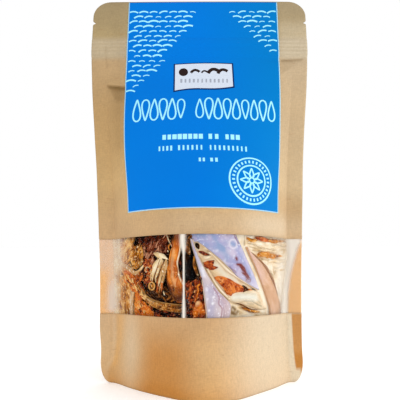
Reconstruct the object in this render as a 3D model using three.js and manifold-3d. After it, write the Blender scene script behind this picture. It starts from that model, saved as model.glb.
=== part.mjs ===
// A filled stand-up pouch of dried anchovies: kraft paper with a clear window band across the front, and a
// wide paper label above it. Millimetres, +Z up, front towards -Y. The origin is on the surface that the
// pouch stands on, under its middle.
import * as THREE from 'three';
import { mergeVertices } from 'three/addons/utils/BufferGeometryUtils.js';
import Module from 'manifold-3d';

const wasm = await Module();
wasm.setup();

// Driving dimensions of the pouch: a standard size, 130 mm wide, which stands 224 mm high when it is filled.
const HEIGHT = 224;
const SIDE_SEAL = 9;
const SEAL_THICKNESS = 1.4;
const LEAN = 13.5;
const LEAN_START = 60;
const TOP_CORNER_RADIUS = 10.4;
const NOTCH_BELOW_TOP = 14.6;
const NOTCH_DEPTH = 2;
const NOTCH_HEIGHT = 3.6;
const FOOT_CORNER_HEIGHT = 10.7;
const FOOT_CORNER_INSET = 5.5;

// The zip under the top edge stands out of both panels as a low band.
const ZIP_TOP = 24;
const ZIP_BOTTOM = 34.5;
const ZIP_RELIEF = 0.7;
const ZIP_EDGE = 1.5;

// How the filled pouch stands: pairs of height and size, from the base up.
const HALF_WIDTH = [[0, 57], [20, 55.8], [50, 56.2], [80, 57.2], [110, 58.6], [140, 61.1], [170, 63.7], [195, 65], [HEIGHT, 65]];
const BULGE = [[0, 31.5], [25, 28.2], [50, 27.6], [75, 26.8], [100, 25], [125, 16], [150, 9.2], [172, 3.2], [190, 0.8], [HEIGHT, 0.6]];
const LINE_RISE = [[0, 0], [37, 2], [78, 2.7], [91, 2.4], [130, 1.5], [190, 0], [HEIGHT, 0]];
const SWAY = [[0, 0.4], [60, 0.5], [95, 0.2], [140, -0.6], [175, -0.3], [HEIGHT, 0]];

// The section of a panel is (1 - a * a) raised to a power, which falls from the folded base upwards.
const FORM_AT_BASE = 1.3;
const FORM_ABOVE = 0.85;
const FORM_HEIGHT = 70;
const BASE_SKEW = 0.15;
const SKEW_HEIGHT = 40;

// The window band, the film in it and the bay behind it that shows the contents.
const WINDOW_BOTTOM = 37;
const WINDOW_TOP = 77.8;
const FILM = 0.4;
const GAP = 0.3;
const BAY_DEPTH = 14;
const BAY_WALL = 1.5;
const BAY_MARGIN = 7;
const BAY_HALF = 0.95;
const OPENING_HALF = 0.93;

// The label, from just above the window to the top edge.
const LABEL_BOTTOM = 91.2;
const LABEL_TOP = HEIGHT - 0.5;
const LABEL_WIDTH = 91;
const LABEL_OFFSET = 2.4;
const LABEL_THICKNESS = 0.4;
const LABEL_STEP = 7;

// The underside is hollow: the gusset hangs just clear of the surface and rises towards both side seals.
const RIM = 2.2;
const GUSSET_MIDDLE = 2.5;
const GUSSET_ENDS = 6;
const GUSSET_HALF = 0.9;

// Steps of the grids.
const ROW_STEP = 7;
const HALF_COLUMNS = 9;
const NORMAL_SPREAD = 1.2;
const SPREAD_END = 1.25;

// A smooth curve through pairs of place and value, with no overshoot between them.
function smoothCurve(knots) {
  const rises = knots.slice(1).map(([x, y], i) => (y - knots[i][1]) / (x - knots[i][0]));
  const slopes = knots.map((knot, i) => {
    if (i === 0) return rises[0];
    if (i === knots.length - 1) return rises[i - 1];
    const product = rises[i - 1] * rises[i];
    return product > 0 ? (2 * product) / (rises[i - 1] + rises[i]) : 0;
  });
  return (place) => {
    const x = THREE.MathUtils.clamp(place, knots[0][0], knots.at(-1)[0]);
    const i = Math.max(0, knots.findLastIndex(([at], k) => at <= x && k < knots.length - 1));
    const span = knots[i + 1][0] - knots[i][0];
    const s = (x - knots[i][0]) / span;
    return knots[i][1] * (1 + 2 * s) * (1 - s) ** 2 + slopes[i] * span * s * (1 - s) ** 2
      + knots[i + 1][1] * s * s * (3 - 2 * s) + slopes[i + 1] * span * s * s * (s - 1);
  };
}

const halfWidth = smoothCurve(HALF_WIDTH);
const bulge = smoothCurve(BULGE);
const lineRise = smoothCurve(LINE_RISE);
const sway = smoothCurve(SWAY);

function lean(height) {
  return LEAN * (Math.max(0, height - LEAN_START) / (HEIGHT - LEAN_START)) ** 2;
}

function zipRelief(height) {
  const below = HEIGHT - height;
  const inside = Math.min(below - ZIP_TOP, ZIP_BOTTOM - below);
  return ZIP_RELIEF * THREE.MathUtils.smoothstep(inside, -ZIP_EDGE / 2, ZIP_EDGE / 2);
}

// How full a panel is at a place across it, from 0 at the side seals to 1 in the middle.
function fullness(across, height, skew) {
  const form = FORM_ABOVE + (FORM_AT_BASE - FORM_ABOVE) * Math.exp(-((height / FORM_HEIGHT) ** 2));
  return Math.max(0, 1 - across * across) ** form * (1 + skew * Math.exp(-((height / SKEW_HEIGHT) ** 2)) * across);
}

// A point of the front panel (side -1) or the back panel (side 1). Across runs from -1 to 1 over the bulge
// and on to 2 over each side seal. Depth is measured inwards from the outer face.
function panelPoint(across, height, depth, side) {
  const inner = THREE.MathUtils.clamp(across, -1, 1);
  const full = fullness(inner, height, side < 0 ? BASE_SKEW : 0);
  const x = sway(height) + inner * (halfWidth(height) - SIDE_SEAL) + (across - inner) * SIDE_SEAL;
  const out = SEAL_THICKNESS / 2 + bulge(height) * full + zipRelief(height);
  const fade = 1 - THREE.MathUtils.smoothstep(Math.abs(across), 1, SPREAD_END);
  const spread = NORMAL_SPREAD * inner * fade;
  const length = Math.hypot(spread, 1);
  return new THREE.Vector3(
    x - (depth * spread) / length,
    lean(height) + side * (out - depth / length),
    height + lineRise(height) * full,
  );
}

const front = (across, height, depth = 0) => panelPoint(across, height, depth, -1);
const back = (across, height, depth = 0) => panelPoint(across, height, depth, 1);

// The place across the front panel that lies a given length along the paper from the middle.
const ARC_STEPS = 60;
function acrossAtLength(length, height) {
  let run = 0;
  let last = front(0, height);
  for (let i = 1; i <= ARC_STEPS; i++) {
    const next = front((Math.sign(length) * i) / ARC_STEPS, height);
    const step = Math.hypot(next.x - last.x, next.y - last.y);
    if (run + step >= Math.abs(length)) {
      return (Math.sign(length) * (i - 1 + (Math.abs(length) - run) / step)) / ARC_STEPS;
    }
    run += step;
    last = next;
  }
  return Math.sign(length) * Math.min(2, 1 + (Math.abs(length) - run) / SIDE_SEAL);
}

// A closed solid from two facing grids with the same rows and columns, joined round their edges.
function slab(columns, rows, nearPoint, farPoint) {
  const positions = [];
  for (const point of [nearPoint, farPoint]) {
    for (const row of rows) {
      for (const column of columns) positions.push(...point(column, row).toArray());
    }
  }
  const wide = columns.length;
  const high = rows.length;
  const far = wide * high;
  const index = [];
  const quad = (a, b, c, d) => index.push(a, b, c, a, c, d);
  for (let i = 0; i < high - 1; i++) {
    for (let j = 0; j < wide - 1; j++) {
      const a = i * wide + j;
      quad(a, a + 1, a + 1 + wide, a + wide);
      quad(far + a, far + a + wide, far + a + wide + 1, far + a + 1);
    }
  }
  const top = (high - 1) * wide;
  for (let j = 0; j < wide - 1; j++) {
    quad(j, far + j, far + j + 1, j + 1);
    quad(top + j, top + j + 1, far + top + j + 1, far + top + j);
  }
  for (let i = 0; i < high - 1; i++) {
    const left = i * wide;
    const right = left + wide - 1;
    quad(left, left + wide, far + left + wide, far + left);
    quad(right, far + right, far + right + wide, right + wide);
  }
  return indexed(positions, index);
}

function indexed(positions, index) {
  const geometry = new THREE.BufferGeometry();
  geometry.setAttribute('position', new THREE.Float32BufferAttribute(positions, 3));
  geometry.setIndex(index);
  return geometry;
}

// Between three.js geometry and solids that can be cut and joined.
function solid(geometry) {
  const bare = geometry.clone();
  bare.deleteAttribute('normal');
  bare.deleteAttribute('uv');
  const merged = mergeVertices(bare, 1e-4);
  const triVerts = new Uint32Array(merged.index.array);
  return new wasm.Manifold(new wasm.Mesh({ numProp: 3, vertProperties: merged.attributes.position.array, triVerts }));
}

function geometryOf(manifold) {
  const mesh = manifold.getMesh();
  const positions = [];
  for (let i = 0; i < mesh.vertProperties.length; i += mesh.numProp) {
    positions.push(...mesh.vertProperties.subarray(i, i + 3));
  }
  return indexed(positions, [...mesh.triVerts]);
}

// The largest closed surface of a solid alone, which fills the pockets in it and drops loose scraps.
function outerShell(manifold) {
  return solid(geometryOf(manifold)).decompose().sort((a, b) => b.volume() - a.volume())[0];
}

function evenSteps(from, to, step) {
  const count = Math.max(1, Math.round((to - from) / step));
  return Array.from({ length: count + 1 }, (_, i) => from + ((to - from) * i) / count);
}

// Columns close up towards the side seals, where the panel turns most.
function columnsOver(half) {
  return Array.from({ length: 2 * HALF_COLUMNS + 1 }, (_, i) => half * Math.sin((Math.PI / 2) * (i / HALF_COLUMNS - 1)));
}

const panelColumns = [-2, -1.5, -1.12, ...columnsOver(1), 1.12, 1.5, 2];
const zipRows = [ZIP_BOTTOM, ZIP_TOP].flatMap((edge) => [-0.6, 0, 0.6].map((k) => HEIGHT - edge + k * ZIP_EDGE));
const zipStart = zipRows[0];
const zipEnd = zipRows.at(-1);
const bodyRows = [...evenSteps(0, zipStart - 2, ROW_STEP), ...zipRows, ...evenSteps(zipEnd + 2, HEIGHT, ROW_STEP)];

// The outline that the flat seals are cut to: round top corners, tear notches and round foot corners.
function outline() {
  const side = halfWidth(HEIGHT);
  const beyond = side + 5;
  const notchZ = HEIGHT - NOTCH_BELOW_TOP;
  const foot = halfWidth(0);
  const half = [
    [foot - FOOT_CORNER_INSET - 8, -1],
    [foot - FOOT_CORNER_INSET, 0],
    ...[0.3, 0.6, 0.8, 0.92, 1].map((t) => {
      const angle = (Math.PI / 2) * t;
      return [foot - FOOT_CORNER_INSET * (1 - Math.sin(angle)), FOOT_CORNER_HEIGHT * (1 - Math.cos(angle))];
    }),
    [beyond, FOOT_CORNER_HEIGHT],
    [beyond, notchZ - NOTCH_HEIGHT],
    [side + 1, notchZ - NOTCH_HEIGHT / 2],
    [side - NOTCH_DEPTH, notchZ],
    [side + 1, notchZ + NOTCH_HEIGHT / 2],
    [beyond, notchZ + NOTCH_HEIGHT],
    [beyond, HEIGHT - TOP_CORNER_RADIUS],
    ...evenSteps(0, 1, 1 / 6).map((t) => {
      const angle = (Math.PI / 2) * t;
      return [side - TOP_CORNER_RADIUS * (1 - Math.cos(angle)), HEIGHT - TOP_CORNER_RADIUS * (1 - Math.sin(angle))];
    }),
  ];
  const points = [...half, ...half.map(([x, z]) => [-x, z]).reverse()].map(([x, z]) => new THREE.Vector2(x, z));
  const deep = 200;
  const geometry = new THREE.ExtrudeGeometry(new THREE.Shape(points), { depth: deep, bevelEnabled: false });
  geometry.rotateX(Math.PI / 2);
  geometry.translate(0, deep / 2, 0);
  return solid(geometry);
}

// The hollow under the base, inside a flat rim that the pouch stands on.
function gussetHollow() {
  const columns = columnsOver(GUSSET_HALF);
  const rows = [-1, -0.93, -0.8, -0.6, -0.3, 0, 0.3, 0.6, 0.8, 0.93, 1];
  const point = (across, between, z) => {
    const near = front(across, 0, RIM);
    const far = back(across, 0, RIM);
    return new THREE.Vector3(near.x, THREE.MathUtils.lerp(near.y, far.y, (between + 1) / 2), z);
  };
  const roof = (across, between) => {
    const tall = THREE.MathUtils.lerp(GUSSET_MIDDLE, GUSSET_ENDS, (across / GUSSET_HALF) ** 2);
    return point(across, between, tall * Math.sqrt(1 - between * between));
  };
  return solid(slab(columns, rows, roof, (across, between) => point(across, between, -2)));
}

const bayDepth = (across) => BAY_DEPTH * (1 - 0.45 * across * across);

// The opening for the window: right through the panel, and only as deep as the film over the side seals.
function windowCut() {
  const seal = FILM + GAP;
  const columns = [-2.3, -1.5, -1.12, -1, -0.97, ...columnsOver(OPENING_HALF), 0.97, 1, 1.12, 1.5, 2.3];
  const floor = (across) => (Math.abs(across) > OPENING_HALF + 0.01 ? seal : BAY_WALL + 1);
  const rows = evenSteps(WINDOW_BOTTOM, WINDOW_TOP, ROW_STEP);
  return solid(slab(columns, rows, (a, t) => front(a, t, -2), (a, t) => front(a, t, floor(a))));
}

function bay(shrink) {
  const rows = evenSteps(WINDOW_BOTTOM - BAY_MARGIN + shrink, WINDOW_TOP + BAY_MARGIN - shrink, ROW_STEP);
  const columns = columnsOver(BAY_HALF - shrink / 30);
  return solid(slab(columns, rows, (a, t) => front(a, t, BAY_WALL + shrink), (a, t) => front(a, t, bayDepth(a) - shrink)));
}

function pouch() {
  const body = solid(slab(panelColumns, bodyRows, (a, t) => front(a, t), (a, t) => back(a, t)));
  return geometryOf(body.intersect(outline()).subtract(gussetHollow()).subtract(windowCut()).subtract(bay(0)));
}

function windowFilm() {
  const rows = evenSteps(WINDOW_BOTTOM + GAP, WINDOW_TOP - GAP, ROW_STEP);
  return slab(panelColumns, rows, (a, t) => front(a, t), (a, t) => front(a, t, FILM));
}

function label() {
  const columns = evenSteps(LABEL_OFFSET - LABEL_WIDTH / 2, LABEL_OFFSET + LABEL_WIDTH / 2, LABEL_STEP);
  const rows = [LABEL_BOTTOM, ...bodyRows.filter((row) => row > LABEL_BOTTOM + 2 && row < LABEL_TOP - 2), LABEL_TOP];
  const at = (length, height, depth) => front(acrossAtLength(length, height), height, depth);
  return slab(columns, rows, (s, t) => at(s, t, -GAP - LABEL_THICKNESS), (s, t) => at(s, t, -GAP));
}

// The contents. Each fish lies along a few points of the panel: length across from the middle, height, and
// depth under the film. A tall fish is broad across its flank, and its tail is the end of its path.
const FISH = [
  { path: [[2, 88, 3], [10, 76, 3.2], [20, 64, 3.4], [29, 53, 3.4], [35, 44, 4]], tall: 23, thick: 5.5, tail: 4 },
  { path: [[20, 28, 4], [12, 40, 3.2], [5, 51, 3], [0, 63, 2.6], [-5, 80, 3]], tall: 15, thick: 5, tail: 4 },
  { path: [[18, 76, 3], [30, 69, 2.4], [41, 59, 2.2], [48, 48, 2.2], [50, 34, 2.6]], tall: 7, thick: 4, tail: 6 },
  { path: [[-18, 84, 3], [-14.5, 70, 2.6], [-15.5, 57, 2.4], [-14, 46, 2.8], [-10, 36, 3.4]], tall: 9.5, thick: 5, tail: 4 },
  { path: [[-50, 60, 4], [-41, 52, 2.6], [-31, 43.5, 2.4], [-19, 41, 2.4], [-7, 42, 3]], tall: 8, thick: 4.5, tail: 5 },
  { path: [[-4, 58, 4.5], [-5, 48, 3.6], [-6, 38, 3.6], [-9, 30, 4]], tall: 10, thick: 5, tail: 7 },
  { path: [[-50, 64, 5], [-38, 72, 4], [-25, 75, 4], [-8, 71, 5]], tall: 13, thick: 5.5, tail: 5 },
  { path: [[-17, 52, 5], [-26, 53, 3.6], [-34, 58, 3.6], [-44, 69, 4], [-52, 80, 5]], tall: 13, thick: 5.5, tail: 5 },
  { path: [[-34, 70, 4], [-26, 65, 3.2], [-20, 58, 3.2], [-18, 49, 4]], tall: 9, thick: 4.5, tail: 8 },
  { path: [[-54, 56, 4], [-48, 47, 3], [-41, 39, 3], [-30, 33, 4]], tall: 10, thick: 4.5, tail: 5 },
  { path: [[8, 36, 5], [20, 43, 3.6], [32, 43, 3], [46, 36, 3.4]], tall: 11, thick: 5, tail: 5 },
  { path: [[27, 83, 4], [36, 74, 3.4], [47, 71, 3], [56, 74, 3.4]], tall: 12, thick: 5, tail: 6 },
  { path: [[30, 58, 5], [40, 65, 4.4], [50, 62, 3.6], [56, 50, 4]], tall: 11, thick: 5, tail: 5 },
  { path: [[36, 40, 5], [46, 49, 4], [54, 46, 3.6], [57, 34, 4]], tall: 10, thick: 5, tail: 5 },
  { path: [[2, 66, 6], [12, 57, 5.6], [22, 51, 5.4], [34, 48, 6]], tall: 12, thick: 5, tail: 5 },
  { path: [[-44, 44, 6], [-30, 55, 6], [-14, 62, 6.5], [2, 74, 7]], tall: 15, thick: 5, tail: 5 },
];

// The core fills the bay behind the fish.
const CORE_DEPTH = 5.2;

// Half height and half thickness along a fish, as parts of its largest, from snout to the fork of its tail.
const FISH_STATIONS = 10;
const HALF_HEIGHT = smoothCurve([[0, 0.12], [0.1, 0.62], [0.3, 1], [0.55, 0.9], [0.8, 0.42], [0.9, 0.26], [1, 0.55]]);
const HALF_THICKNESS = smoothCurve([[0, 0.2], [0.12, 0.8], [0.35, 1], [0.6, 0.85], [0.85, 0.4], [1, 0.14]]);
const FISH_SIDES = 8;

function fish({ path, tall, thick, tail }) {
  const spine = new THREE.CatmullRomCurve3(path.map((point) => new THREE.Vector3(...point)));
  const positions = [];
  const place = (at) => {
    const across = THREE.MathUtils.clamp(acrossAtLength(at.x, at.y), -1, 1);
    positions.push(...front(across, at.y, at.z).toArray());
  };
  const ring = (k) => {
    const along = k / (FISH_STATIONS - 1);
    const centre = spine.getPointAt(along);
    const tangent = spine.getTangentAt(along).setZ(0).normalize();
    const up = new THREE.Vector3(-tangent.y, tangent.x, 0);
    const fork = along === 1 ? tail : 0;
    for (let j = 0; j < FISH_SIDES; j++) {
      const angle = (2 * Math.PI * j) / FISH_SIDES;
      const high = (tall / 2) * HALF_HEIGHT(along) * Math.cos(angle);
      const deep = (thick / 2) * HALF_THICKNESS(along) * Math.sin(angle);
      const at = centre.clone().addScaledVector(up, high).addScaledVector(tangent, fork * Math.abs(Math.cos(angle)));
      place(at.setZ(centre.z + deep));
    }
  };
  for (let k = 0; k < FISH_STATIONS; k++) ring(k);
  place(spine.getPointAt(0));
  place(spine.getPointAt(1));
  const index = [];
  const snout = FISH_STATIONS * FISH_SIDES;
  for (let j = 0; j < FISH_SIDES; j++) {
    const next = (j + 1) % FISH_SIDES;
    for (let k = 0; k < FISH_STATIONS - 1; k++) {
      const a = k * FISH_SIDES + j;
      const b = k * FISH_SIDES + next;
      index.push(a, b + FISH_SIDES, b, a, a + FISH_SIDES, b + FISH_SIDES);
    }
    const last = (FISH_STATIONS - 1) * FISH_SIDES;
    index.push(snout, j, next, snout + 1, last + next, last + j);
  }
  return solid(indexed(positions, index));
}

// One heap: the fish fused to their core, cut to the space behind the film and the paper.
function driedAnchovies() {
  const inner = bay(GAP);
  const opening = solid(slab(
    columnsOver(OPENING_HALF - 0.01),
    evenSteps(WINDOW_BOTTOM + GAP, WINDOW_TOP - GAP, ROW_STEP),
    (a, t) => front(a, t, FILM + GAP),
    (a, t) => front(a, t, BAY_WALL + 2),
  ));
  const rows = evenSteps(WINDOW_BOTTOM - BAY_MARGIN + 1, WINDOW_TOP + BAY_MARGIN - 1, ROW_STEP);
  let heap = solid(slab(
    columnsOver(BAY_HALF - 0.02),
    rows,
    (a, t) => front(a, t, CORE_DEPTH),
    (a, t) => front(a, t, bayDepth(a) - 1),
  ));
  for (const one of FISH) heap = heap.add(fish(one));
  return geometryOf(outerShell(heap.intersect(inner.add(opening))));
}

function part(name, geometry, color, roughness, extra = {}) {
  const mesh = new THREE.Mesh(geometry, new THREE.MeshStandardMaterial({ color, roughness, metalness: 0, ...extra }));
  mesh.name = name;
  return mesh;
}

const object = new THREE.Group();
object.add(
  part('pouch', pouch(), 0xc79d68, 0.75),
  part('window_film', windowFilm(), 0xffffff, 0.1, { transparent: true, opacity: 0.2 }),
  part('dried_anchovies', driedAnchovies(), 0x9c6a45, 0.5),
  part('label', label(), 0x0b7cdc, 0.45),
);

export default object;
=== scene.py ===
# %% [markdown]
# # A stand-up pouch of dried anchovies
# The object is a filled pouch of kraft paper that stands on its folded base. A clear window band runs across
# the front, a wide blue label covers the paper above it, and dried fish show through the window. This lesson
# dresses the plain construction model: it keeps every size and place, and adds the finish.

# %% Load the fixed frame
import math
from functools import partial

import bmesh
import bpy
import numpy as np
from mathutils import Matrix, Vector


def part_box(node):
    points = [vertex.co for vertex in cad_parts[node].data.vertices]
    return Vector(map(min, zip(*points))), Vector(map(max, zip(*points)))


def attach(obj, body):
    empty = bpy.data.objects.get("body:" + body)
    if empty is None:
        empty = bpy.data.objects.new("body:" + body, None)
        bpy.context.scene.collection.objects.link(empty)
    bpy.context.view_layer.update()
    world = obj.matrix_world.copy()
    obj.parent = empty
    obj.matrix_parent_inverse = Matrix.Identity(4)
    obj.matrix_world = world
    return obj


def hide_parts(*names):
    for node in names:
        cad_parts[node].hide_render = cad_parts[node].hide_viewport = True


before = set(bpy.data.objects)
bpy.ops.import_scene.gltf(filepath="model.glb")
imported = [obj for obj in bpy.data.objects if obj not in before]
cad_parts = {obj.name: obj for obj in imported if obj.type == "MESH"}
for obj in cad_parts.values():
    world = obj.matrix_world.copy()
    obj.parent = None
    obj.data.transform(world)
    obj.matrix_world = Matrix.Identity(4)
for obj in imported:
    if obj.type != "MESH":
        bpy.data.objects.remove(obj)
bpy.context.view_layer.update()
POUCH_LOW, POUCH_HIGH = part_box("pouch")
MM = 0.001
HEIGHT = (POUCH_HIGH.z - POUCH_LOW.z) / MM
print("the pouch stands", round(HEIGHT, 1), "mm high")

# %% [markdown]
# ## Camera
# The photograph was taken from close by, a little below the middle of the pouch and looking slightly up, as
# the curve of the base shows. The distance, height and angle come from fitting the outline of a standard
# 130 mm wide pouch to it. Placing the camera first lets every later choice be judged in the same view.

# %% Place the camera
PHOTO_PIXELS = 400
FOCAL_PIXELS = 452.4
SENSOR_WIDTH = 36
CAMERA_DISTANCE = 255
CAMERA_HEIGHT = 77.4
CAMERA_PITCH = 0.088
CAMERA_ROLL = -0.0027

camera_data = bpy.data.cameras.new("camera")
camera_data.lens = FOCAL_PIXELS / PHOTO_PIXELS * SENSOR_WIDTH
camera_data.sensor_width = SENSOR_WIDTH
camera_data.clip_start = 0.01
camera = bpy.data.objects.new("camera", camera_data)
turn = Matrix.Rotation(math.pi / 2 + CAMERA_PITCH, 4, "X") @ Matrix.Rotation(CAMERA_ROLL, 4, "Z")
camera.matrix_world = Matrix.Translation((0, -CAMERA_DISTANCE * MM, CAMERA_HEIGHT * MM)) @ turn
bpy.context.collection.objects.link(camera)
bpy.context.scene.camera = camera
print("lens", round(camera_data.lens, 1), "mm")

# %% [markdown]
# ## Light
# The photograph is a catalogue picture: soft light from the right, a white ground and no hard shadow. A white
# world does most of that. One large lamp on the right models the folds, and a tall narrow one on the left
# makes the upright streak that the clear film shows. The table glows a little, as a light table does, which
# thins the shadow at the foot.

# %% Helpers for colours and nodes
def linear(hex_colour):
    """Turns an sRGB colour such as "c9a877" into the linear, opaque colour that shaders take."""
    parts = [int(hex_colour[i:i + 2], 16) / 255 for i in (0, 2, 4)]
    return [*(p / 12.92 if p <= 0.04045 else ((p + 0.055) / 1.055) ** 2.4 for p in parts), 1]


def feed(node, inputs):
    """Sets inputs of a node. Each takes a value, a socket, or a node whose first output is meant."""
    for key, value in inputs.items():
        if isinstance(value, bpy.types.Node):
            value = value.outputs[0]
        if isinstance(value, bpy.types.NodeSocket):
            node.id_data.links.new(value, node.inputs[key])
        else:
            node.inputs[key].default_value = value
    return node


def add_node(tree, kind, inputs=None, **settings):
    """Adds one node to a tree, with its settings and inputs."""
    new = tree.nodes.new(kind)
    for name, value in settings.items():
        setattr(new, name, value)
    return feed(new, inputs or {})

# %% Set up the world, the lamps and the floor
WORLD_STRENGTH = 1
world = bpy.data.worlds.new("studio")
world.use_nodes = True
feed(world.node_tree.nodes["Background"], {"Color": (1, 1, 1, 1), "Strength": WORLD_STRENGTH})
bpy.context.scene.world = world
bpy.context.scene.view_settings.view_transform = "Standard"


def add_lamp(name, place, target, width, height, power):
    """Adds a rectangular lamp, in millimetres, that faces its target."""
    data = bpy.data.lights.new(name, "AREA")
    data.shape = "RECTANGLE"
    data.size = width * MM
    data.size_y = height * MM
    data.energy = power
    lamp = bpy.data.objects.new(name, data)
    towards = (Vector(target) - Vector(place)).to_track_quat("-Z", "Y").to_matrix().to_4x4()
    lamp.matrix_world = Matrix.Translation(Vector(place) * MM) @ towards
    bpy.context.collection.objects.link(lamp)


add_lamp("key_lamp", place=(360, -60, 150), target=(0, 0, 100), width=260, height=300, power=0.5)
# The film's upright streak is also painted into the film as a painted reflection.
add_lamp("strip_lamp", place=(-118, -262, 90), target=(0, 0, 70), width=16, height=320, power=0.12)

FLOOR_SIZE = 8
TABLE_GLOW = 0.12
bpy.ops.mesh.primitive_plane_add(size=FLOOR_SIZE)
floor = bpy.context.object
floor.name = "floor"
floor_paint = bpy.data.materials.new("matt_white_backdrop")
floor_paint.use_nodes = True
feed(floor_paint.node_tree.nodes["Principled BSDF"], {
    "Base Color": linear("fefefe"), "Roughness": 0.9,
    "Emission Color": (1, 1, 1, 1), "Emission Strength": TABLE_GLOW,
})
floor.data.materials.append(floor_paint)
print("set up two lamps and a floor", FLOOR_SIZE, "m wide")

# %% [markdown]
# ## The shape of a filled pouch
# Paper bends but doesn't stretch. So both panels of the pouch follow one rule: a height gives the width and
# the bulge, and a section of the form (1 - a * a) to a power joins the two side seals. The construction model
# uses the same rule, with the same sizes in millimetres but for the zip, which lies 2 mm lower here.
# Everything that lies on the front, such as the label, its print, the film and the fish behind it, is placed
# on this surface by its height and by its length along the paper from the middle.

# %% Sizes and curves of the panels
SIDE_SEAL = 9
SEAL_HALF = 0.45
PAPER = 0.3
LEAST_HALF = 2 * PAPER - SEAL_HALF + 0.03
LEAN, LEAN_START = 13.5, 60
HALF_WIDTH = [
    (0, 57), (20, 55.8), (50, 56.2), (80, 57.2), (110, 58.6), (140, 61.1), (170, 63.7), (195, 65),
    (HEIGHT, 65),
]
BULGE = [
    (0, 31.5), (25, 28.2), (50, 27.6), (75, 26.8), (100, 25), (125, 16), (150, 9.2), (172, 3.2), (190, 0.8),
    (HEIGHT, 0.6),
]
LINE_RISE = [(0, 0), (37, 2), (78, 2.7), (91, 2.4), (130, 1.5), (190, 0), (HEIGHT, 0)]
SWAY = [(0, 0.4), (60, 0.5), (95, 0.2), (140, -0.6), (175, -0.3), (HEIGHT, 0)]
FORM_ABOVE, FORM_AT_BASE, FORM_HEIGHT = 0.85, 1.3, 70
BASE_SKEW, SKEW_HEIGHT = 0.15, 40
NORMAL_SPREAD, SPREAD_END = 1.2, 1.25
FRONT, BACK = -1, 1


def smooth_curve(knots):
    """A smooth function through pairs of place and value, with no overshoot between them."""
    at, value = np.array(knots, float).T
    rise = np.diff(value) / np.diff(at)
    slope = np.concatenate([rise[:1], np.zeros(len(at) - 2), rise[-1:]])
    product = rise[:-1] * rise[1:]
    total = np.where(product > 0, rise[:-1] + rise[1:], 1)
    slope[1:-1] = np.where(product > 0, 2 * product / total, 0)

    def curve(place):
        place = np.clip(place, at[0], at[-1])
        i = np.clip(np.searchsorted(at, place) - 1, 0, len(at) - 2)
        span = at[i + 1] - at[i]
        s = (place - at[i]) / span
        return (value[i] * (1 + 2 * s) * (1 - s) ** 2 + slope[i] * span * s * (1 - s) ** 2
                + value[i + 1] * s * s * (3 - 2 * s) + slope[i + 1] * span * s * s * (s - 1))

    return curve


half_width, bulge, line_rise, sway = map(smooth_curve, (HALF_WIDTH, BULGE, LINE_RISE, SWAY))


def step(value, low, high):
    """0 below low, 1 above high, and smooth between them."""
    s = np.clip((value - low) / (high - low), 0, 1)
    return s * s * (3 - 2 * s)


def ridge(value, centre, width):
    """A rounded ridge of height 1."""
    return np.exp(-((value - centre) / width) ** 2)

# %% The relief of the paper
ZIP_TOP, ZIP_BOTTOM = 26, 37
ZIP_RELIEF, ZIP_EDGE = 0.7, 1.5
ZIP_PROFILES = (29.2, 33.6)


def zip_relief(height):
    """The band of the zip, with the two profiles that click into each other."""
    below = HEIGHT - height
    band = step(np.minimum(below - ZIP_TOP, ZIP_BOTTOM - below), -ZIP_EDGE / 2, ZIP_EDGE / 2)
    profiles = sum(ridge(below, centre, 0.8) for centre in ZIP_PROFILES)
    return 0.75 * ZIP_RELIEF * band + 0.25 * ZIP_RELIEF * profiles


def paper_relief(across, height, side):
    """The dents and soft folds of the paper, outwards in millimetres."""
    out = zip_relief(height)
    s = across * 50
    if side == FRONT:
        # Under the zip the filled paper folds into the left side seal, and creases on the right.
        out -= 1.3 * step(height, 146, 166) * step(-height, -168.5, -166.5) * ridge(s, -46, 9)
        out += 0.5 * ridge(height, 169, 2.5) * ridge(s, -50, 10)
        out -= 0.7 * ridge(height, HEIGHT - 39.2, 1.6) * step(s, 30, 42)
        # Long soft folds rise from the base.
        foot = step(-height, -34, -8)
        out += foot * (1.1 * ridge(s, -39, 8) - 1.2 * ridge(s, -17, 11) + 0.3 * ridge(s, 12, 10))
        out += foot * (-0.7 * ridge(s, 28, 8) + 0.9 * ridge(s, 42, 7))
    return out

# %% Define the two panels
def panel(across, height, out=0, side=FRONT, relief=1):
    """Points of a panel, in millimetres. across is -1 to 1 over the bulge and up to 2 over each side seal."""
    across, height, out = np.broadcast_arrays(*(np.asarray(v, float) for v in (across, height, out)))
    inner = np.clip(across, -1, 1)
    form = FORM_ABOVE + (FORM_AT_BASE - FORM_ABOVE) * np.exp(-((height / FORM_HEIGHT) ** 2))
    skew = BASE_SKEW * np.exp(-((height / SKEW_HEIGHT) ** 2)) if side == FRONT else 0
    full = np.maximum(1 - inner ** 2, 0) ** form * (1 + skew * inner)
    x = sway(height) + inner * (half_width(height) - SIDE_SEAL) + (across - inner) * SIDE_SEAL
    y = SEAL_HALF + bulge(height) * full + relief * paper_relief(across, height, side)
    y = np.maximum(y, LEAST_HALF)
    fade = 1 - step(np.abs(across), 1, SPREAD_END)
    spread = NORMAL_SPREAD * inner * fade
    length = np.hypot(spread, 1)
    lean = LEAN * (np.maximum(0, height - LEAN_START) / (HEIGHT - LEAN_START)) ** 2
    y = lean + side * (y + out / length)
    return np.stack([x + out * spread / length, y, height + line_rise(height) * full], -1)

# %% Measure along the paper
ARC_HEIGHTS = np.linspace(0, HEIGHT, 113)
ARC_ACROSS = np.linspace(-2, 2, 401)
ARC_LENGTHS = np.linspace(-66, 66, 265)


def arc_table():
    """For each height, the place across that lies each length along the paper from the middle."""
    rows = []
    for height in ARC_HEIGHTS:
        points = panel(ARC_ACROSS, height, relief=0)[:, :2]
        run = np.concatenate([[0], np.cumsum(np.linalg.norm(np.diff(points, axis=0), axis=1))])
        run -= run[len(run) // 2]
        rows.append(np.interp(ARC_LENGTHS, run, ARC_ACROSS))
    return np.array(rows)


ARC_TABLE = arc_table()


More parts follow.
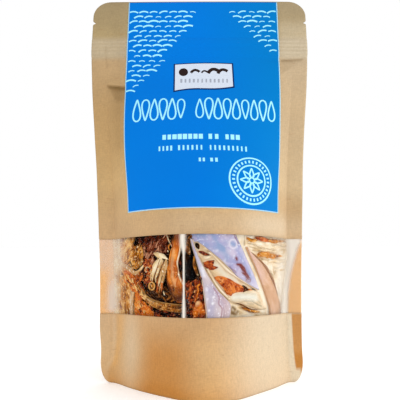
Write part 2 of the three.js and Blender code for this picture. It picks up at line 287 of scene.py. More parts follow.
def across_at(length, height):
    """The place across the front panel for a length along the paper, at a height."""
    row = np.clip(np.asarray(height, float) / HEIGHT, 0, 1) * (len(ARC_HEIGHTS) - 1)
    low = np.clip(row.astype(int), 0, len(ARC_HEIGHTS) - 2)
    column = (np.asarray(length, float) - ARC_LENGTHS[0]) / (ARC_LENGTHS[1] - ARC_LENGTHS[0])
    column = np.clip(column, 0, len(ARC_LENGTHS) - 1.001)
    left = column.astype(int)
    u, v = column - left, row - low
    lower = ARC_TABLE[low, left] * (1 - u) + ARC_TABLE[low, left + 1] * u
    upper = ARC_TABLE[low + 1, left] * (1 - u) + ARC_TABLE[low + 1, left + 1] * u
    return lower * (1 - v) + upper * v


half_row = ARC_LENGTHS[np.argmin(abs(ARC_TABLE[len(ARC_TABLE) // 4] - 1))]
print("half of the window row is", round(float(half_row), 1), "mm of paper")

# %% [markdown]
# ## Making meshes
# Most pieces here are sheets: a near and a far grid of points, joined round their edges into one closed skin.
# One function makes such a slab and another turns any points and faces, in millimetres, into an object whose
# place is in its mesh.

# %% Helpers for meshes
def make_object(name, points, faces, materials, slots=None, uvs=None, smooth=True, values=None):
    """A mesh object at the origin, from points in millimetres. uvs holds one pair for each point, and values
    one number for each point under each name."""
    mesh = bpy.data.meshes.new(name)
    mesh.from_pydata((np.asarray(points, float) * MM).tolist(), [], [list(map(int, f)) for f in faces])
    for material in materials:
        mesh.materials.append(material)
    if slots is not None:
        mesh.polygons.foreach_set("material_index", np.asarray(slots, np.int32))
    if uvs is not None:
        layer = mesh.uv_layers.new(name="skin")
        corners = np.zeros(len(mesh.loops), np.int32)
        mesh.loops.foreach_get("vertex_index", corners)
        layer.data.foreach_set("uv", np.asarray(uvs, np.float32)[corners].ravel())
    mesh.polygons.foreach_set("use_smooth", np.full(len(mesh.polygons), smooth))
    for key, numbers in (values or {}).items():
        layer = mesh.attributes.new(key, "FLOAT", "POINT")
        layer.data.foreach_set("value", np.asarray(numbers, np.float32))
    mesh.update()
    made = bpy.data.objects.new(name, mesh)
    bpy.context.collection.objects.link(made)
    return made


def grid_faces(rows, columns, start=0, flip=False):
    """The quads of a grid of points, row by row."""
    i, j = np.meshgrid(np.arange(rows - 1), np.arange(columns - 1), indexing="ij")
    a = start + (i * columns + j).ravel()
    quads = np.stack([a, a + 1, a + columns + 1, a + columns], -1)
    return quads[:, ::-1] if flip else quads


def slab(near, far):
    """Points and faces of a closed skin from two facing grids, each of shape (rows, columns, 3)."""
    rows, columns = near.shape[:2]
    size = rows * columns
    points = np.concatenate([near.reshape(-1, 3), far.reshape(-1, 3)])
    rim = np.concatenate([
        np.arange(columns), np.arange(1, rows) * columns + columns - 1,
        (rows - 1) * columns + np.arange(columns - 2, -1, -1),
        np.arange(rows - 2, 0, -1) * columns,
    ])
    following = np.roll(rim, -1)
    walls = np.stack([rim, rim + size, following + size, following], -1)
    faces = np.concatenate([grid_faces(rows, columns), grid_faces(rows, columns, size, flip=True), walls])
    return points, faces


# %% [markdown]
# ## Kraft paper
# Kraft paper is brown paper of unbleached pulp, here laminated to a clear film inside. Its long fibres show
# as fine pale and dark flecks, and the pulp lies in soft clouds a few centimetres wide. The surface is matt
# with a faint sheen where it is bent. The fibres are drawn 0.55 mm wide, about as fine as the picture can
# show.

# %% Helpers for materials
def new_material(name):
    """A node material, a function that adds nodes to it, its shader and the object coordinates."""
    material = bpy.data.materials.new(name)
    material.use_nodes = True
    add = partial(add_node, material.node_tree)
    place = add("ShaderNodeTexCoord").outputs["Object"]
    return material, add, material.node_tree.nodes["Principled BSDF"], place


def per_metre(size_mm):
    """The scale of a pattern whose features measure this much."""
    return 1000 / size_mm


def ramp_stops(node, stops):
    """Sets a colour ramp's stops from pairs of position and hex colour."""
    ramp = node.color_ramp
    while len(ramp.elements) < len(stops):
        ramp.elements.new(0.5)
    for element, (position, colour) in zip(ramp.elements, stops):
        element.position = position
        element.color = linear(colour)

# %% Kraft paper material
# Painted shade and highlight by height: darker towards the top, paler on the raised zip band.
KRAFT_BY_HEIGHT = [
    (0, "c7985e"), (20, "c49e6e"), (37, "be976a"), (85, "b8966c"), (110, "b99867"), (130, "b2905f"),
    (152, "b08e5e"), (184, "ad9069"), (187, "aa987a"), (197, "aa987a"), (201, "9d8860"), (224, "998561"),
]
# Tints of painted light and shade: warm, gold and shade paint shade, and pale paints light.
KRAFT_TINTS = (("warm", "b57831"), ("gold", "e8b468"), ("pale", "d6c8ae"), ("shade", "75592f"))
CLOUD_MM, FIBRE_MM, FLECK_MM, TOOTH_MM = 30, 0.55, 1.1, 0.8


def kraft_paper(name, tints):
    """Kraft paper, tinted where its mesh attributes of these names say."""
    material, add, shader, place = new_material(name)
    level = add("ShaderNodeSeparateXYZ", {"Vector": place}).outputs["Z"]
    up = add("ShaderNodeMath", {0: level, 1: 1 / (HEIGHT * MM)}, operation="MULTIPLY")
    by_height = add("ShaderNodeValToRGB", {"Fac": up})
    ramp_stops(by_height, [(height / HEIGHT, colour) for height, colour in KRAFT_BY_HEIGHT])
    clouds = add("ShaderNodeTexNoise", {
        "Vector": place, "Scale": per_metre(CLOUD_MM), "Detail": 3, "Roughness": 0.55,
    })
    uneven = add("ShaderNodeMapRange", {
        "Value": clouds, "From Min": 0.3, "From Max": 0.7, "To Min": 0.9, "To Max": 1.1,
    })
    colour = add("ShaderNodeVectorMath", {0: by_height, "Scale": uneven}, operation="SCALE")
    for attribute, tint in tints:
        share = add("ShaderNodeAttribute", attribute_name=attribute).outputs["Fac"]
        stained = {0: share, 6: colour, 7: linear(tint)}
        colour = add("ShaderNodeMix", stained, data_type="RGBA").outputs[2]
    # Fibres lie in two crossing directions, each drawn out four times their width.
    upright = add("ShaderNodeMapping", {"Vector": place, "Scale": (1, 1, 0.22)})
    slanted = add("ShaderNodeMapping", {
        "Vector": place, "Rotation": (0, 0.9, 0), "Scale": (0.25, 1, 1),
    })
    fibres = [
        add("ShaderNodeTexNoise", {"Vector": way, "Scale": per_metre(FIBRE_MM), "Detail": 2})
        for way in (upright, slanted)
    ]
    both = add("ShaderNodeMath", dict(enumerate(fibres)), operation="ADD")
    fibrous = add("ShaderNodeMapRange", {
        "Value": both, "From Min": 0.75, "From Max": 1.25, "To Min": 0.92, "To Max": 1.07,
    })
    colour = add("ShaderNodeVectorMath", {0: colour, "Scale": fibrous}, operation="SCALE")
    flecks = add("ShaderNodeTexNoise", {"Vector": slanted, "Scale": per_metre(FLECK_MM), "Detail": 1})
    dark = add("ShaderNodeMapRange", {
        "Value": flecks, "From Min": 0.68, "From Max": 0.76, "To Max": 0.22,
    })
    flecked = add("ShaderNodeMix", {0: dark, 6: colour, 7: linear("8a5a2c")}, data_type="RGBA")
    grain = add("ShaderNodeTexNoise", {"Vector": place, "Scale": per_metre(TOOTH_MM), "Detail": 4})
    bump = add("ShaderNodeBump", {"Height": grain, "Strength": 0.25, "Distance": 0.0001})
    feed(shader, {
        "Base Color": flecked.outputs[2], "Normal": bump, "Roughness": 0.62,
        "Specular IOR Level": 0.22, "Sheen Weight": 0.08,
    })
    return material


KRAFT = kraft_paper("kraft_paper_unbleached", KRAFT_TINTS)
# Its amber tint is painted light on the side seals seen through the window.
KRAFT_INSIDE = kraft_paper("kraft_paper_laminated_inside", (("amber", "f0b05c"),))
print("made", KRAFT.name, "and", KRAFT_INSIDE.name)

# %% [markdown]
# ## The paper pouch
# A real pouch is two panels of paper, heat-sealed down both sides and at the top, with a folded gusset
# between them at the base. So it is made as paper: one closed sheet round both panels and the gusset, with
# the window band left open, and then a Solidify modifier gives the sheet its thickness. Pulling in the ends
# of each row cuts the round corners and the tear notches.

# %% The outline and the grid of the sheet
TOP_CORNER_RADIUS = 10.4
NOTCH_BELOW_TOP, NOTCH_DEPTH, NOTCH_HALF = 14.6, 2, 1.2
FOOT_CORNER_HEIGHT = 13
FOOT_INSET_LEFT, FOOT_INSET_RIGHT = 7, 6.5
FOOT_TAPER_LEFT = 1.5
WINDOW_BOTTOM, WINDOW_TOP = 37, 77.8
GUSSET_MIDDLE, GUSSET_ENDS = 2.5, 9
ROW_STEP_LEAST = 0.8
WELD_GAP = 0.02
GUSSET_GAP, GUSSET_PLY = 2 * PAPER + 0.05, 0.06
AMBER_LEFT, AMBER_RIGHT = 0.88, 0.75


def outline_half(height, foot_inset, taper=0):
    """Half the width of the cut sheet at a height: round corners at the top and the foot, and notches."""
    half = half_width(height)
    above = np.maximum(0, height - (HEIGHT - TOP_CORNER_RADIUS))
    half = half - TOP_CORNER_RADIUS + np.sqrt(np.maximum(TOP_CORNER_RADIUS ** 2 - above ** 2, 0))
    notch_height = HEIGHT - NOTCH_BELOW_TOP
    half = half - NOTCH_DEPTH * np.maximum(0, 1 - np.abs(height - notch_height) / NOTCH_HALF)
    foot = np.sqrt(np.maximum(1 - (1 - np.clip(height / FOOT_CORNER_HEIGHT, 0, 1)) ** 2, 0))
    return half - foot_inset * (1 - foot) - taper * step(-height, -38, -12)


def pouch_rows():
    """The heights of the sheet's rows: even ones, and fine ones at the corners, the notches and the folds."""
    corner = HEIGHT - TOP_CORNER_RADIUS * (1 - np.sin(np.linspace(0, math.pi / 2, 13)))
    notch = HEIGHT - NOTCH_BELOW_TOP + np.linspace(-1.5, 1.5, 11) * NOTCH_HALF
    foot = FOOT_CORNER_HEIGHT * (1 - np.cos(np.linspace(0, math.pi / 2, 9)))
    zip_rows = HEIGHT - np.linspace(ZIP_TOP - 2, ZIP_BOTTOM + 12, 34)
    fold_rows = np.linspace(155, 170, 22)
    even = np.linspace(0, HEIGHT, 113)
    single = [0.7, HEIGHT - 0.6, WINDOW_BOTTOM, WINDOW_TOP]
    fine = np.concatenate([corner, notch, foot, zip_rows, fold_rows, single])
    even = even[np.min(np.abs(even[:, None] - fine[None]), axis=1) > ROW_STEP_LEAST]
    return np.unique(np.round(np.concatenate([even, fine]), 4))


def pouch_columns():
    """The places across of the sheet's columns, close together beside and on the seals."""
    bulging = np.sin(np.linspace(-math.pi / 2, math.pi / 2, 67))
    seal = np.array([
        1.02, 1.06, 1.1, 1.15, 1.21, 1.28, 1.33, 1.37, 1.41, 1.45, 1.49, 1.55, 1.65, 1.8, 1.9, 2,
    ])
    return np.concatenate([-seal[::-1], bulging, seal])

# %% Join the panels and the gusset
def paper_pouch():
    """Points, faces and tints of the sheet: both panels, the side walls, the top edge, the feet of the side
    seals and the gusset."""
    rows, columns = pouch_rows(), pouch_columns()
    high, wide = len(rows), len(columns)
    size = high * wide
    grid_across, grid_height = np.meshgrid(columns, rows)
    left = -outline_half(grid_height, FOOT_INSET_LEFT, FOOT_TAPER_LEFT)
    right = outline_half(grid_height, FOOT_INSET_RIGHT)
    sheets = []
    for side in (FRONT, BACK):
        points = panel(grid_across, grid_height, side=side)
        points[..., 0] = np.clip(points[..., 0], left, right)
        sheets.append(points.reshape(-1, 3))
    middle = (rows[:-1] + rows[1:]) / 2
    in_window = (middle > WINDOW_BOTTOM) & (middle < WINDOW_TOP)
    front = grid_faces(high, wide)[~np.repeat(in_window, wide - 1)]
    faces = [front, grid_faces(high, wide, size, flip=True)]
    for column, turned in ((0, False), (wide - 1, True)):
        a = np.arange(high - 1) * wide + column
        wall = np.stack([a, a + wide, a + wide + size, a + size], -1)
        faces.append((wall[:, ::-1] if turned else wall)[~in_window])
    j = np.arange(wide - 1)
    top = (high - 1) * wide + j
    faces.append(np.stack([top, top + 1, top + 1 + size, top + size], -1))
    foot = j[(columns[:-1] >= 1) | (columns[1:] <= -1)]
    faces.append(np.stack([foot, foot + size, foot + 1 + size, foot + 1], -1))
    gusset_points, gusset_faces = gusset_sheet(columns, size)
    points = np.concatenate([*sheets, gusset_points])
    faces = [face for group in faces for face in group.tolist()] + gusset_faces
    tints = {name: np.zeros(len(points)) for name in ("warm", "gold", "amber", "pale", "shade")}
    for name, values in front_tints(grid_across, grid_height).items():
        tints[name][:size] = np.clip(values, 0, 1).ravel()
    # Painted light, and the warmer look of paper under film: the seals behind the window turn amber.
    on_seal = step(np.abs(grid_across), 1.05, 1.2) * step(grid_height, 35, 37) * step(-grid_height, -80, -78)
    tints["amber"][size:2 * size] = (on_seal * np.where(grid_across > 0, AMBER_RIGHT, AMBER_LEFT)).ravel()
    return points, faces, tints


def gusset_sheet(columns, size):
    """The folded base between the panels: it rises to both side seals, with its fold along the middle."""
    inside = np.where(np.abs(columns) <= 1.0001)[0]
    across = columns[inside]
    between = np.sin(np.linspace(-math.pi / 2, math.pi / 2, 19))
    tall = GUSSET_MIDDLE + (GUSSET_ENDS - GUSSET_MIDDLE) * across ** 2
    rows = []
    for e in between[1:-1]:
        height = tall * (1 - abs(e) ** 2.6) + 0.8 * ridge(e, 0, 0.06)
        near, far = panel(across, height), panel(across, height, side=BACK)
        row = near * (1 - e) / 2 + far * (1 + e) / 2
        middle = (near[:, 1] + far[:, 1]) / 2
        low = np.minimum(near[:, 1] + GUSSET_GAP, middle + GUSSET_PLY * e)
        high = np.maximum(far[:, 1] - GUSSET_GAP, middle + GUSSET_PLY * e)
        row[:, 1] = np.clip(row[:, 1], low, high)
        row[:, 2] = height
        rows.append(row)
    wide = len(inside)
    added = [2 * size + np.arange(wide) + k * wide for k in range(len(rows))]
    index = [inside, *added, inside + size]
    faces = []
    for low, high in zip(index[:-1], index[1:]):
        faces += np.stack([low[:-1], high[:-1], high[1:], low[1:]], -1).tolist()
    faces.append([int(row[0]) for row in index][::-1])
    faces.append([int(row[-1]) for row in index])
    return np.concatenate(rows), faces

# %% Tint the front
def spot(run, height, place, size):
    """A soft oval patch of strength 1."""
    return ridge(run, place[0], size[0]) * ridge(height, place[1], size[1])


def along_line(run, height, points, width):
    """A soft line of strength 1 that wanders from bottom to top, from points of (run, height)."""
    at_run, at_height = np.array(points, float).T
    low, high = at_height[0], at_height[-1]
    ends = step(height, low - width, low + width) * step(-height, -high - width, width - high)
    return ridge(run, np.interp(height, at_height, at_run), width) * ends


def across_line(run, height, points, above, below):
    """A line across the pouch, from points of (run, height), soft above and below by these widths."""
    at_run, at_height = np.array(points, float).T
    rise = height - np.interp(run, at_run, at_height)
    ends = step(run, at_run[0] - 1, at_run[0] + 1) * step(-run, -at_run[-1] - 1, 1 - at_run[-1])
    return np.exp(-(rise / np.where(rise > 0, above, below)) ** 2) * ends


LEFT_FOLD = [(-50.6, 9), (-49.6, 15), (-47.1, 25), (-46.5, 38)]
LEFT_RIM_FOLD = [(-53.6, 8.6), (-51.8, 12), (-50.9, 23), (-51.3, 38)]
UNDER_ZIP = [(-49.8, 168.2), (-44.2, 167.3), (-37, 165.6)]
BESIDE_ZIP = [(44, 184.4), (50, 184.6), (56.4, 185.1)]
UPPER_LEFT_FOLD = [(-49.4, 179), (-50, 186), (-50.2, 193)]


def front_tints(across, height):
    """Painted light and shade on the paper of the front. warm is a deeper orange: painted shade in a dent
    low on the left, on the lower right seal flap and along a fold by the left seal, and more of it towards
    the foot. gold makes the line of that fold golden. pale is painted light: the right side below the window,
    a patch, a line and the seal low on the left, the paper between the window and the label, the paper right
    of the label, and stripes on the zip band. shade is painted shade in the folds under and beside the zip,
    along the left seal and at the top and bottom edges. A run is the place across in the flat sheet: 50 at a
    side seal and 59 at the rim."""
    inner = np.clip(across, -1, 1)
    run = 50 * inner + SIDE_SEAL * (across - inner)
    low = step(-height, -WINDOW_BOTTOM - 1, 1 - WINDOW_BOTTOM)
    flap_edge = 0.045 * (height - 8)
    flap = step(run, 53.9 - flap_edge, 54.6 - flap_edge) * low
    flap *= step(height + 0.7 * np.clip(run - 52.5, 0, 6), 8.4, 9.6)

    # Painted shade: deeper orange low on the left, on the right seal flap, along a fold and at the foot.
    warm = 0.84 * step(run, -38, -24) * step(-run, -4, 18) * step(-height, -39, -16)
    warm += 0.74 * flap + 0.5 * flap * step(-height, -18, -10)
    fold = along_line(run, height, LEFT_FOLD, 2.3) * low
    warm += 0.3 * fold
    warm += 0.16 * spot(run, height, (-34, 20), (6, 30)) * low
    warm += 0.35 * step(-height, -8, 0)

    # Painted light: paler paper on the right, low on the left, round the label and on the zip band.
    right = step(run, 2, 36) * low * (1 - flap)
    pale = 0.66 * right + 0.2 * right * step(run, 50, 52)
    pale += 0.24 * along_line(run, height, LEFT_RIM_FOLD, 1.3) * low
    pale += 0.38 * spot(run, height, (-40, 20), (6, 24)) * low
    pale += 0.16 * step(-run, 52, 54) * low
    above_window = 0.16 * step(run, -30, 0) + 0.32 * step(run, 14, 34) - 0.24 * step(run, 46, 52)
    pale += above_window * ridge(height, 84, 8)
    beside_label = 0.3 + 0.06 * step(height, 184, 188) - 0.26 * step(height, 204, 214)
    pale += step(run, 40, 46) * step(height, 90, 110) * beside_label
    zip_band = step(height, 186.5, 189) * step(-height, -199, -196)
    pale += 0.12 * zip_band * np.sin(height * 2.6)

    shade = 0.66 * across_line(run, height, UNDER_ZIP, 0.5, 1.9)
    slant = 0.42 * (168 - height)
    corner = step(run, -50 + slant, -48.5 + slant)
    shade += 0.32 * corner * step(height, 155, 160) * step(-height, -168, -167) * step(-run, 33, 40)
    shade += 0.24 * ridge(run, -43.5, 4) * step(height, 112, 132) * step(-height, -168, -166)
    shade += 0.5 * across_line(run, height, BESIDE_ZIP, 0.5, 1.1)
    rise = 0.8 * (run - 44)
    dent = 0.2 * step(-run, -56, -46) * step(run, 43, 45)
    shade += dent * step(height, 174 + rise, 176 + rise) * step(-height, -185, -184)
    shade += 0.16 * along_line(run, height, UPPER_LEFT_FOLD, 0.7)
    shade += 0.35 * step(-height, -1.3, 0) + 0.3 * step(height, HEIGHT - 0.9, HEIGHT - 0.2)
    return {"warm": warm, "gold": 0.3 * fold, "pale": pale, "shade": shade}

# %% Build the paper pouch
points, faces, tints = paper_pouch()
pouch = make_object("kraft_pouch", points, faces, [KRAFT, KRAFT_INSIDE], values=tints)
weld = pouch.modifiers.new("weld", "WELD")
weld.merge_threshold = WELD_GAP * MM
wall = pouch.modifiers.new("paper", "SOLIDIFY")
wall.thickness = PAPER * MM
wall.offset = -1
wall.material_offset = 1
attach(pouch, "root")
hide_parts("pouch")
print("the paper has", len(faces), "faces")

# %% [markdown]
# ## The window film
# The window is a strip of clear polypropylene, welded to the paper above and below and into both side seals.
# Such film is glossy and passes nearly all light, so it is a thin closed sheet whose shader mixes plain
# transparency with a mirror by the Fresnel rule: it shows what is behind it head on, and turns milky with
# the bright studio where it curves away at the sides. One upright fold in it catches the narrow lamp. Over
# that, a matt off-white is painted into the film as a painted reflection: along the left weld, at the right
# bend, on the left and along the folds.

# %% Clear film
FILM_LAP = 2.5
FILM_NEAR, FILM_FAR = -PAPER - 0.02, -PAPER - 0.1
FILM_FOLD_AT, FILM_FOLD_WIDTH, FILM_FOLD = -8.9, 1.2, 0.25
FILM_MIRROR = 0.002
RIPPLE_MM = 14


def clear_film():
    """Clear film that turns into a mirror at a grazing angle, and a matt off-white painted reflection where
    its attribute says so.
    """
    material, add, shader, place = new_material("clear_polypropylene_film")
    nodes = material.node_tree.nodes
    nodes.remove(shader)
    ripples = add("ShaderNodeTexNoise", {"Vector": place, "Scale": per_metre(RIPPLE_MM), "Detail": 2})
    bump = add("ShaderNodeBump", {"Height": ripples, "Strength": 0.35, "Distance": 0.001})
    mirror = add("ShaderNodeBsdfGlossy", {"Roughness": 0.06, "Normal": bump})
    see_through = add("ShaderNodeBsdfTransparent", {"Color": (0.98, 0.985, 0.985, 1)})
    turned = add("ShaderNodeLayerWeight", {"Blend": 0.5, "Normal": bump}).outputs["Facing"]
    grazing = add("ShaderNodeMath", {0: turned, 1: 5}, operation="POWER")
    share = add("ShaderNodeMath", {0: grazing, 1: 0.9, 2: FILM_MIRROR}, operation="MULTIPLY_ADD")
    clear = add("ShaderNodeMixShader", {0: share, 1: see_through, 2: mirror})
    reflection_white = add("ShaderNodeBsdfDiffuse", {"Color": linear("ede5d9")})
    painted_reflection = add("ShaderNodeAttribute", attribute_name="painted_reflection").outputs["Fac"]
    surface = add("ShaderNodeMixShader", {0: painted_reflection, 1: clear, 2: reflection_white})
    feed(next(n for n in nodes if n.type == "OUTPUT_MATERIAL"), {"Surface": surface})
    return material


FILM = clear_film()

# %% Build the window film
LEFT_END = [(38.5, 53.4), (46.5, 54.5), (55.5, 55.9), (67.5, 57.6), (76, 57.4)]
RIGHT_END = [(37, 56.7), (46.5, 57), (54.5, 58.1), (60, 59.1), (66.5, 60.8), (72.5, 62.7), (76.5, 64.6)]


def painted_film_reflection(length, height):
    """Where the film gets a painted reflection of matt off-white: along the left weld, at the right bend, on
    the left, along the upright fold and along a smaller fold on the left.
    """
    # Each part is a painted reflection: matt off-white where the film would mirror the studio or a lamp.
    weld = 0.36 * ridge(length, -58.2, 2.8) * step(height, 36, 40) * step(-height, -66, -48)
    left_end, right_end = (np.interp(height, *np.transpose(end)) for end in (LEFT_END, RIGHT_END))
    bend = 0.56 + 0.08 * step(height, 56, 70)
    bend *= step(length - left_end, -2, 2) * step(right_end - length, -1.6, 1.6)
    soft = (0.06 + 0.12 * step(height, 56, 66)) * step(-length, 46, 55)
    soft += 0.06 * step(-length, 40, 50) * step(height, 56, 64) + 0.08 * step(length, 44, 56)
    wide = 0.42 + 0.85 * step(height, 67, 73) + 0.32 * step(-height, -50, -40)
    fold = 0.92 * ridge(length, FILM_FOLD_AT - 0.5 * step(height, 68, 74), wide)
    side_fold = 0.1 * ridge(length, -43.9, 0.9) * step(-height, -52, -47)
    return np.clip(weld + bend + soft + fold + side_fold, 0, 1)


def window_film():
    """Points, faces and painted reflection of the film, which laps under the paper and has one upright fold.
    """
    heights = np.linspace(WINDOW_BOTTOM - FILM_LAP, WINDOW_TOP + FILM_LAP, 34)
    lengths = np.concatenate([np.linspace(-66, -12, 60), np.linspace(-11.6, -6, 36), np.linspace(-5, 66, 80)])
    length, height = np.meshgrid(lengths, heights)
    across = across_at(length, height)
    across[:, 0], across[:, -1] = -2, 2
    fold = FILM_FOLD * ridge(length, FILM_FOLD_AT, FILM_FOLD_WIDTH / 2)
    sides = [panel(across, height, out) for out in (FILM_NEAR, FILM_FAR)]
    for side in sides:
        side[..., 1] -= fold
    return *slab(*sides), np.tile(painted_film_reflection(length, height).ravel(), 2)


points, faces, painted_reflection = window_film()
film = make_object("clear_window_film", points, faces, [FILM], values={"painted_reflection": painted_reflection})
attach(film, "root")
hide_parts("window_film")
print("the film has", len(faces), "faces")

# %% [markdown]
# ## The label
# The label is a smooth coated paper with satin blue ink, cut a little smaller than its white sheet, so that a
# thin pale line is left at the sides and the bottom. It follows every fold of the kraft paper under it, so it
# is a thin slab on the same panel, and the pale line is made by its outermost columns and its lowest row.

# %% Printed paper
LABEL_BOTTOM, LABEL_TOP = 91.2, HEIGHT - 0.5
LABEL_LEFT, LABEL_RIGHT = -43.4, 47.8
LABEL_LINE = 0.55
LABEL_NEAR, LABEL_FAR = 0.17, 0.03
PRINT_FAR, PRINT_NEAR = LABEL_NEAR - 0.01, LABEL_NEAR + 0.04
INK_CLOUD_MM, INK_TOOTH_MM = 60, 0.7


def on_paper(length, height, out):
    """Points on the front of the pouch from their length along the paper, height and distance outwards."""
    return panel(across_at(length, height), height, out)


def printed_paper(name, colour, deep, right=None):
    """Coated label paper: even ink that varies a little over centimetres, over a very fine smooth tooth. The
    ink turns towards the colour right at that side."""
    material, add, shader, place = new_material(name)
    clouds = add("ShaderNodeTexNoise", {"Vector": place, "Scale": per_metre(INK_CLOUD_MM), "Detail": 2})
    ramp = add("ShaderNodeValToRGB", {"Fac": clouds})
    ramp_stops(ramp, [(0.3, deep), (0.7, colour)])
    ink = ramp.outputs[0]
    if right:
        sideways = add("ShaderNodeSeparateXYZ", {"Vector": place})
        share = add("ShaderNodeMapRange", {"Value": sideways, "From Max": 50 * MM, "To Max": 0.7})
        mixed = {0: share, 6: ink, 7: linear(right)}
        ink = add("ShaderNodeMix", mixed, data_type="RGBA").outputs[2]
    tooth = add("ShaderNodeTexNoise", {"Vector": place, "Scale": per_metre(INK_TOOTH_MM), "Detail": 2})
    bump = add("ShaderNodeBump", {"Height": tooth, "Strength": 0.12, "Distance": 0.0001})
    feed(shader, {"Base Color": ink, "Normal": bump, "Roughness": 0.5, "Specular IOR Level": 0.02})
    return material


LABEL_BLUE = printed_paper("coated_paper_blue_ink", "0274d1", "026fcc", right="0578b4")
LABEL_WHITE = printed_paper("coated_paper_white_edge", "a9d3e6", "9ccae0")
PRINT_PALE = printed_paper("pale_cyan_ink", "a6e9f4", "98e2f1")
PRINT_WHITE = printed_paper("white_ink", "cfd6e2", "c6cfdd")
PRINT_DARK = printed_paper("dark_brown_ink", "33231f", "241a1c")
PRINT_GREY = printed_paper("grey_ink", "a3a8b4", "9499a6")
PRINT_SHADE = printed_paper("navy_shadow_ink", "0d2f66", "0b2857")

# %% Build the label
def label():
    """Points, faces and slots of the label: its outermost columns and lowest row are the white line."""
    inner = np.linspace(LABEL_LEFT + LABEL_LINE, LABEL_RIGHT - LABEL_LINE, 76)
    lengths = np.concatenate([[LABEL_LEFT], inner, [LABEL_RIGHT]])
    rows = pouch_rows()
    rows = rows[(rows > LABEL_BOTTOM + LABEL_LINE + 1) & (rows < LABEL_TOP - 0.4)]
    rows = np.concatenate([[LABEL_BOTTOM, LABEL_BOTTOM + LABEL_LINE], rows, [LABEL_TOP]])
    length, height = np.meshgrid(lengths, rows)
    points, faces = slab(on_paper(length, height, LABEL_NEAR), on_paper(length, height, LABEL_FAR))
    line = np.zeros((len(rows) - 1, len(lengths) - 1), int)
    line[:, [0, -1]] = 1
    line[0] = 1
    slots = np.concatenate([line.ravel(), np.ones(len(faces) - line.size, int)])
    return points, faces, slots


points, faces, slots = label()
sheet = make_object("blue_label", points, faces, [LABEL_BLUE, LABEL_WHITE], slots)
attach(sheet, "root")
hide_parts("label")
print("the label is", round(LABEL_RIGHT - LABEL_LEFT, 1), "by", round(LABEL_TOP - LABEL_BOTTOM, 1), "mm")

# %% [markdown]
# ## Print made of repeated marks
# The print is generic: rows of small water ripples in two corners, a row of outlined drops, and rows of
# small blocks. Each kind is one shape that repeats, which is what Geometry Nodes are for. A tree lays the
# marks out flat, where X is the length along the paper and Z is the height. The flat mesh is then bent onto
# the label by the same function that shapes the pouch.

# %% Helpers for Geometry Nodes
SOCKETS = {float: "Float", int: "Int", tuple: "Vector", type(None): "Material"}


def new_tree(name, inputs):
    """A Geometry Nodes tree with a geometry input and output and named inputs with their defaults. Returned
    with it are a function that adds nodes to it, and its inputs."""
    tree = bpy.data.node_groups.new(name, "GeometryNodeTree")
    tree.interface.new_socket("Geometry", in_out="INPUT", socket_type="NodeSocketGeometry")
    for key, default in inputs.items():
        kind = "NodeSocket" + SOCKETS[type(default)]
        socket = tree.interface.new_socket(key, in_out="INPUT", socket_type=kind)
        if default is not None:
            socket.default_value = default
    tree.interface.new_socket("Geometry", in_out="OUTPUT", socket_type="NodeSocketGeometry")
    add = partial(add_node, tree)
    return tree, add, add("NodeGroupInput").outputs


def finish_tree(add, instances, material):
    """Ends a tree in real, finished geometry."""
    real = add("GeometryNodeRealizeInstances", {"Geometry": instances})
    inked = add("GeometryNodeSetMaterial", {"Geometry": real, "Material": material})
    add("NodeGroupOutput", {"Geometry": inked})


def set_on_points(add, given, mark, turn, least, most):
    """Ends a tree with a turned mark on every point, each of a random size from least to most."""
    sizes = {2: least, 3: most, "Seed": given["Seed"]}
    size = add("FunctionNodeRandomValue", sizes, data_type="FLOAT").outputs[1]
    placed = add("GeometryNodeInstanceOnPoints", {
        "Points": given["Geometry"], "Instance": mark, "Rotation": turn, "Scale": size,
    })
    finish_tree(add, placed, given["Material"])


def grown_mesh(tree, places, values):
    """Runs a tree on a mesh of bare points, in millimetres, and returns the plain mesh that it makes."""
    seed_mesh = bpy.data.meshes.new("places")
    seed_mesh.from_pydata((np.asarray(places, float) * MM).tolist(), [], [])
    carrier = bpy.data.objects.new("places", seed_mesh)
    bpy.context.collection.objects.link(carrier)
    modifier = carrier.modifiers.new("grow", "NODES")
    modifier.node_group = tree
    sockets = {item.name: item.identifier for item in tree.interface.items_tree if item.in_out == "INPUT"}
    for key, value in values.items():
        modifier[sockets[key]] = value
    carrier.update_tag()
    evaluated = carrier.evaluated_get(bpy.context.evaluated_depsgraph_get())
    mesh = bpy.data.meshes.new_from_object(evaluated)
    bpy.data.objects.remove(carrier)
    return mesh


def join_print(piece):
    """Attaches an object of the label's print to the root body."""
    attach(piece, "root")


def bend_onto_label(name, mesh, near=PRINT_NEAR):
    """Bends a flat mesh, X along the paper and Z up, onto the label, and attaches it to the root body."""
    flat = np.zeros(len(mesh.vertices) * 3)
    mesh.vertices.foreach_get("co", flat)
    flat = flat.reshape(-1, 3) / MM
    out = np.where(flat[:, 1] < 0, near, PRINT_FAR)
    bent = on_paper(flat[:, 0], flat[:, 2], out)
    mesh.vertices.foreach_set("co", (bent * MM).ravel())
    mesh.polygons.foreach_set("use_smooth", np.zeros(len(mesh.polygons), bool))
    mesh.update()
    piece = bpy.data.objects.new(name, mesh)
    bpy.context.collection.objects.link(piece)
    join_print(piece)


# %% Grow the ripples
RIPPLE_ROWS = 17
RIPPLE_LOW, RIPPLE_STEP = 163.5, 3.3
RIPPLE_PITCH = 6
RIPPLE_LEFT, RIPPLE_RIGHT = LABEL_LEFT + 3.4, LABEL_RIGHT - 3.2


def ripple_places():
    """Staggered rows that fill the two upper corners of the label and leave its middle free."""
    places = []
    for row in range(RIPPLE_ROWS):
        height = RIPPLE_LOW + row * RIPPLE_STEP
        left_end = -34 + 2.1 * row
        right_end = 50 - 2.6 * max(0, row - 4)
        for k in range(16):
            length = RIPPLE_LEFT + (k + 0.5 * (row % 2)) * RIPPLE_PITCH
            if length < left_end or right_end < length < RIPPLE_RIGHT:
                places.append((length, 0, height))
    return places


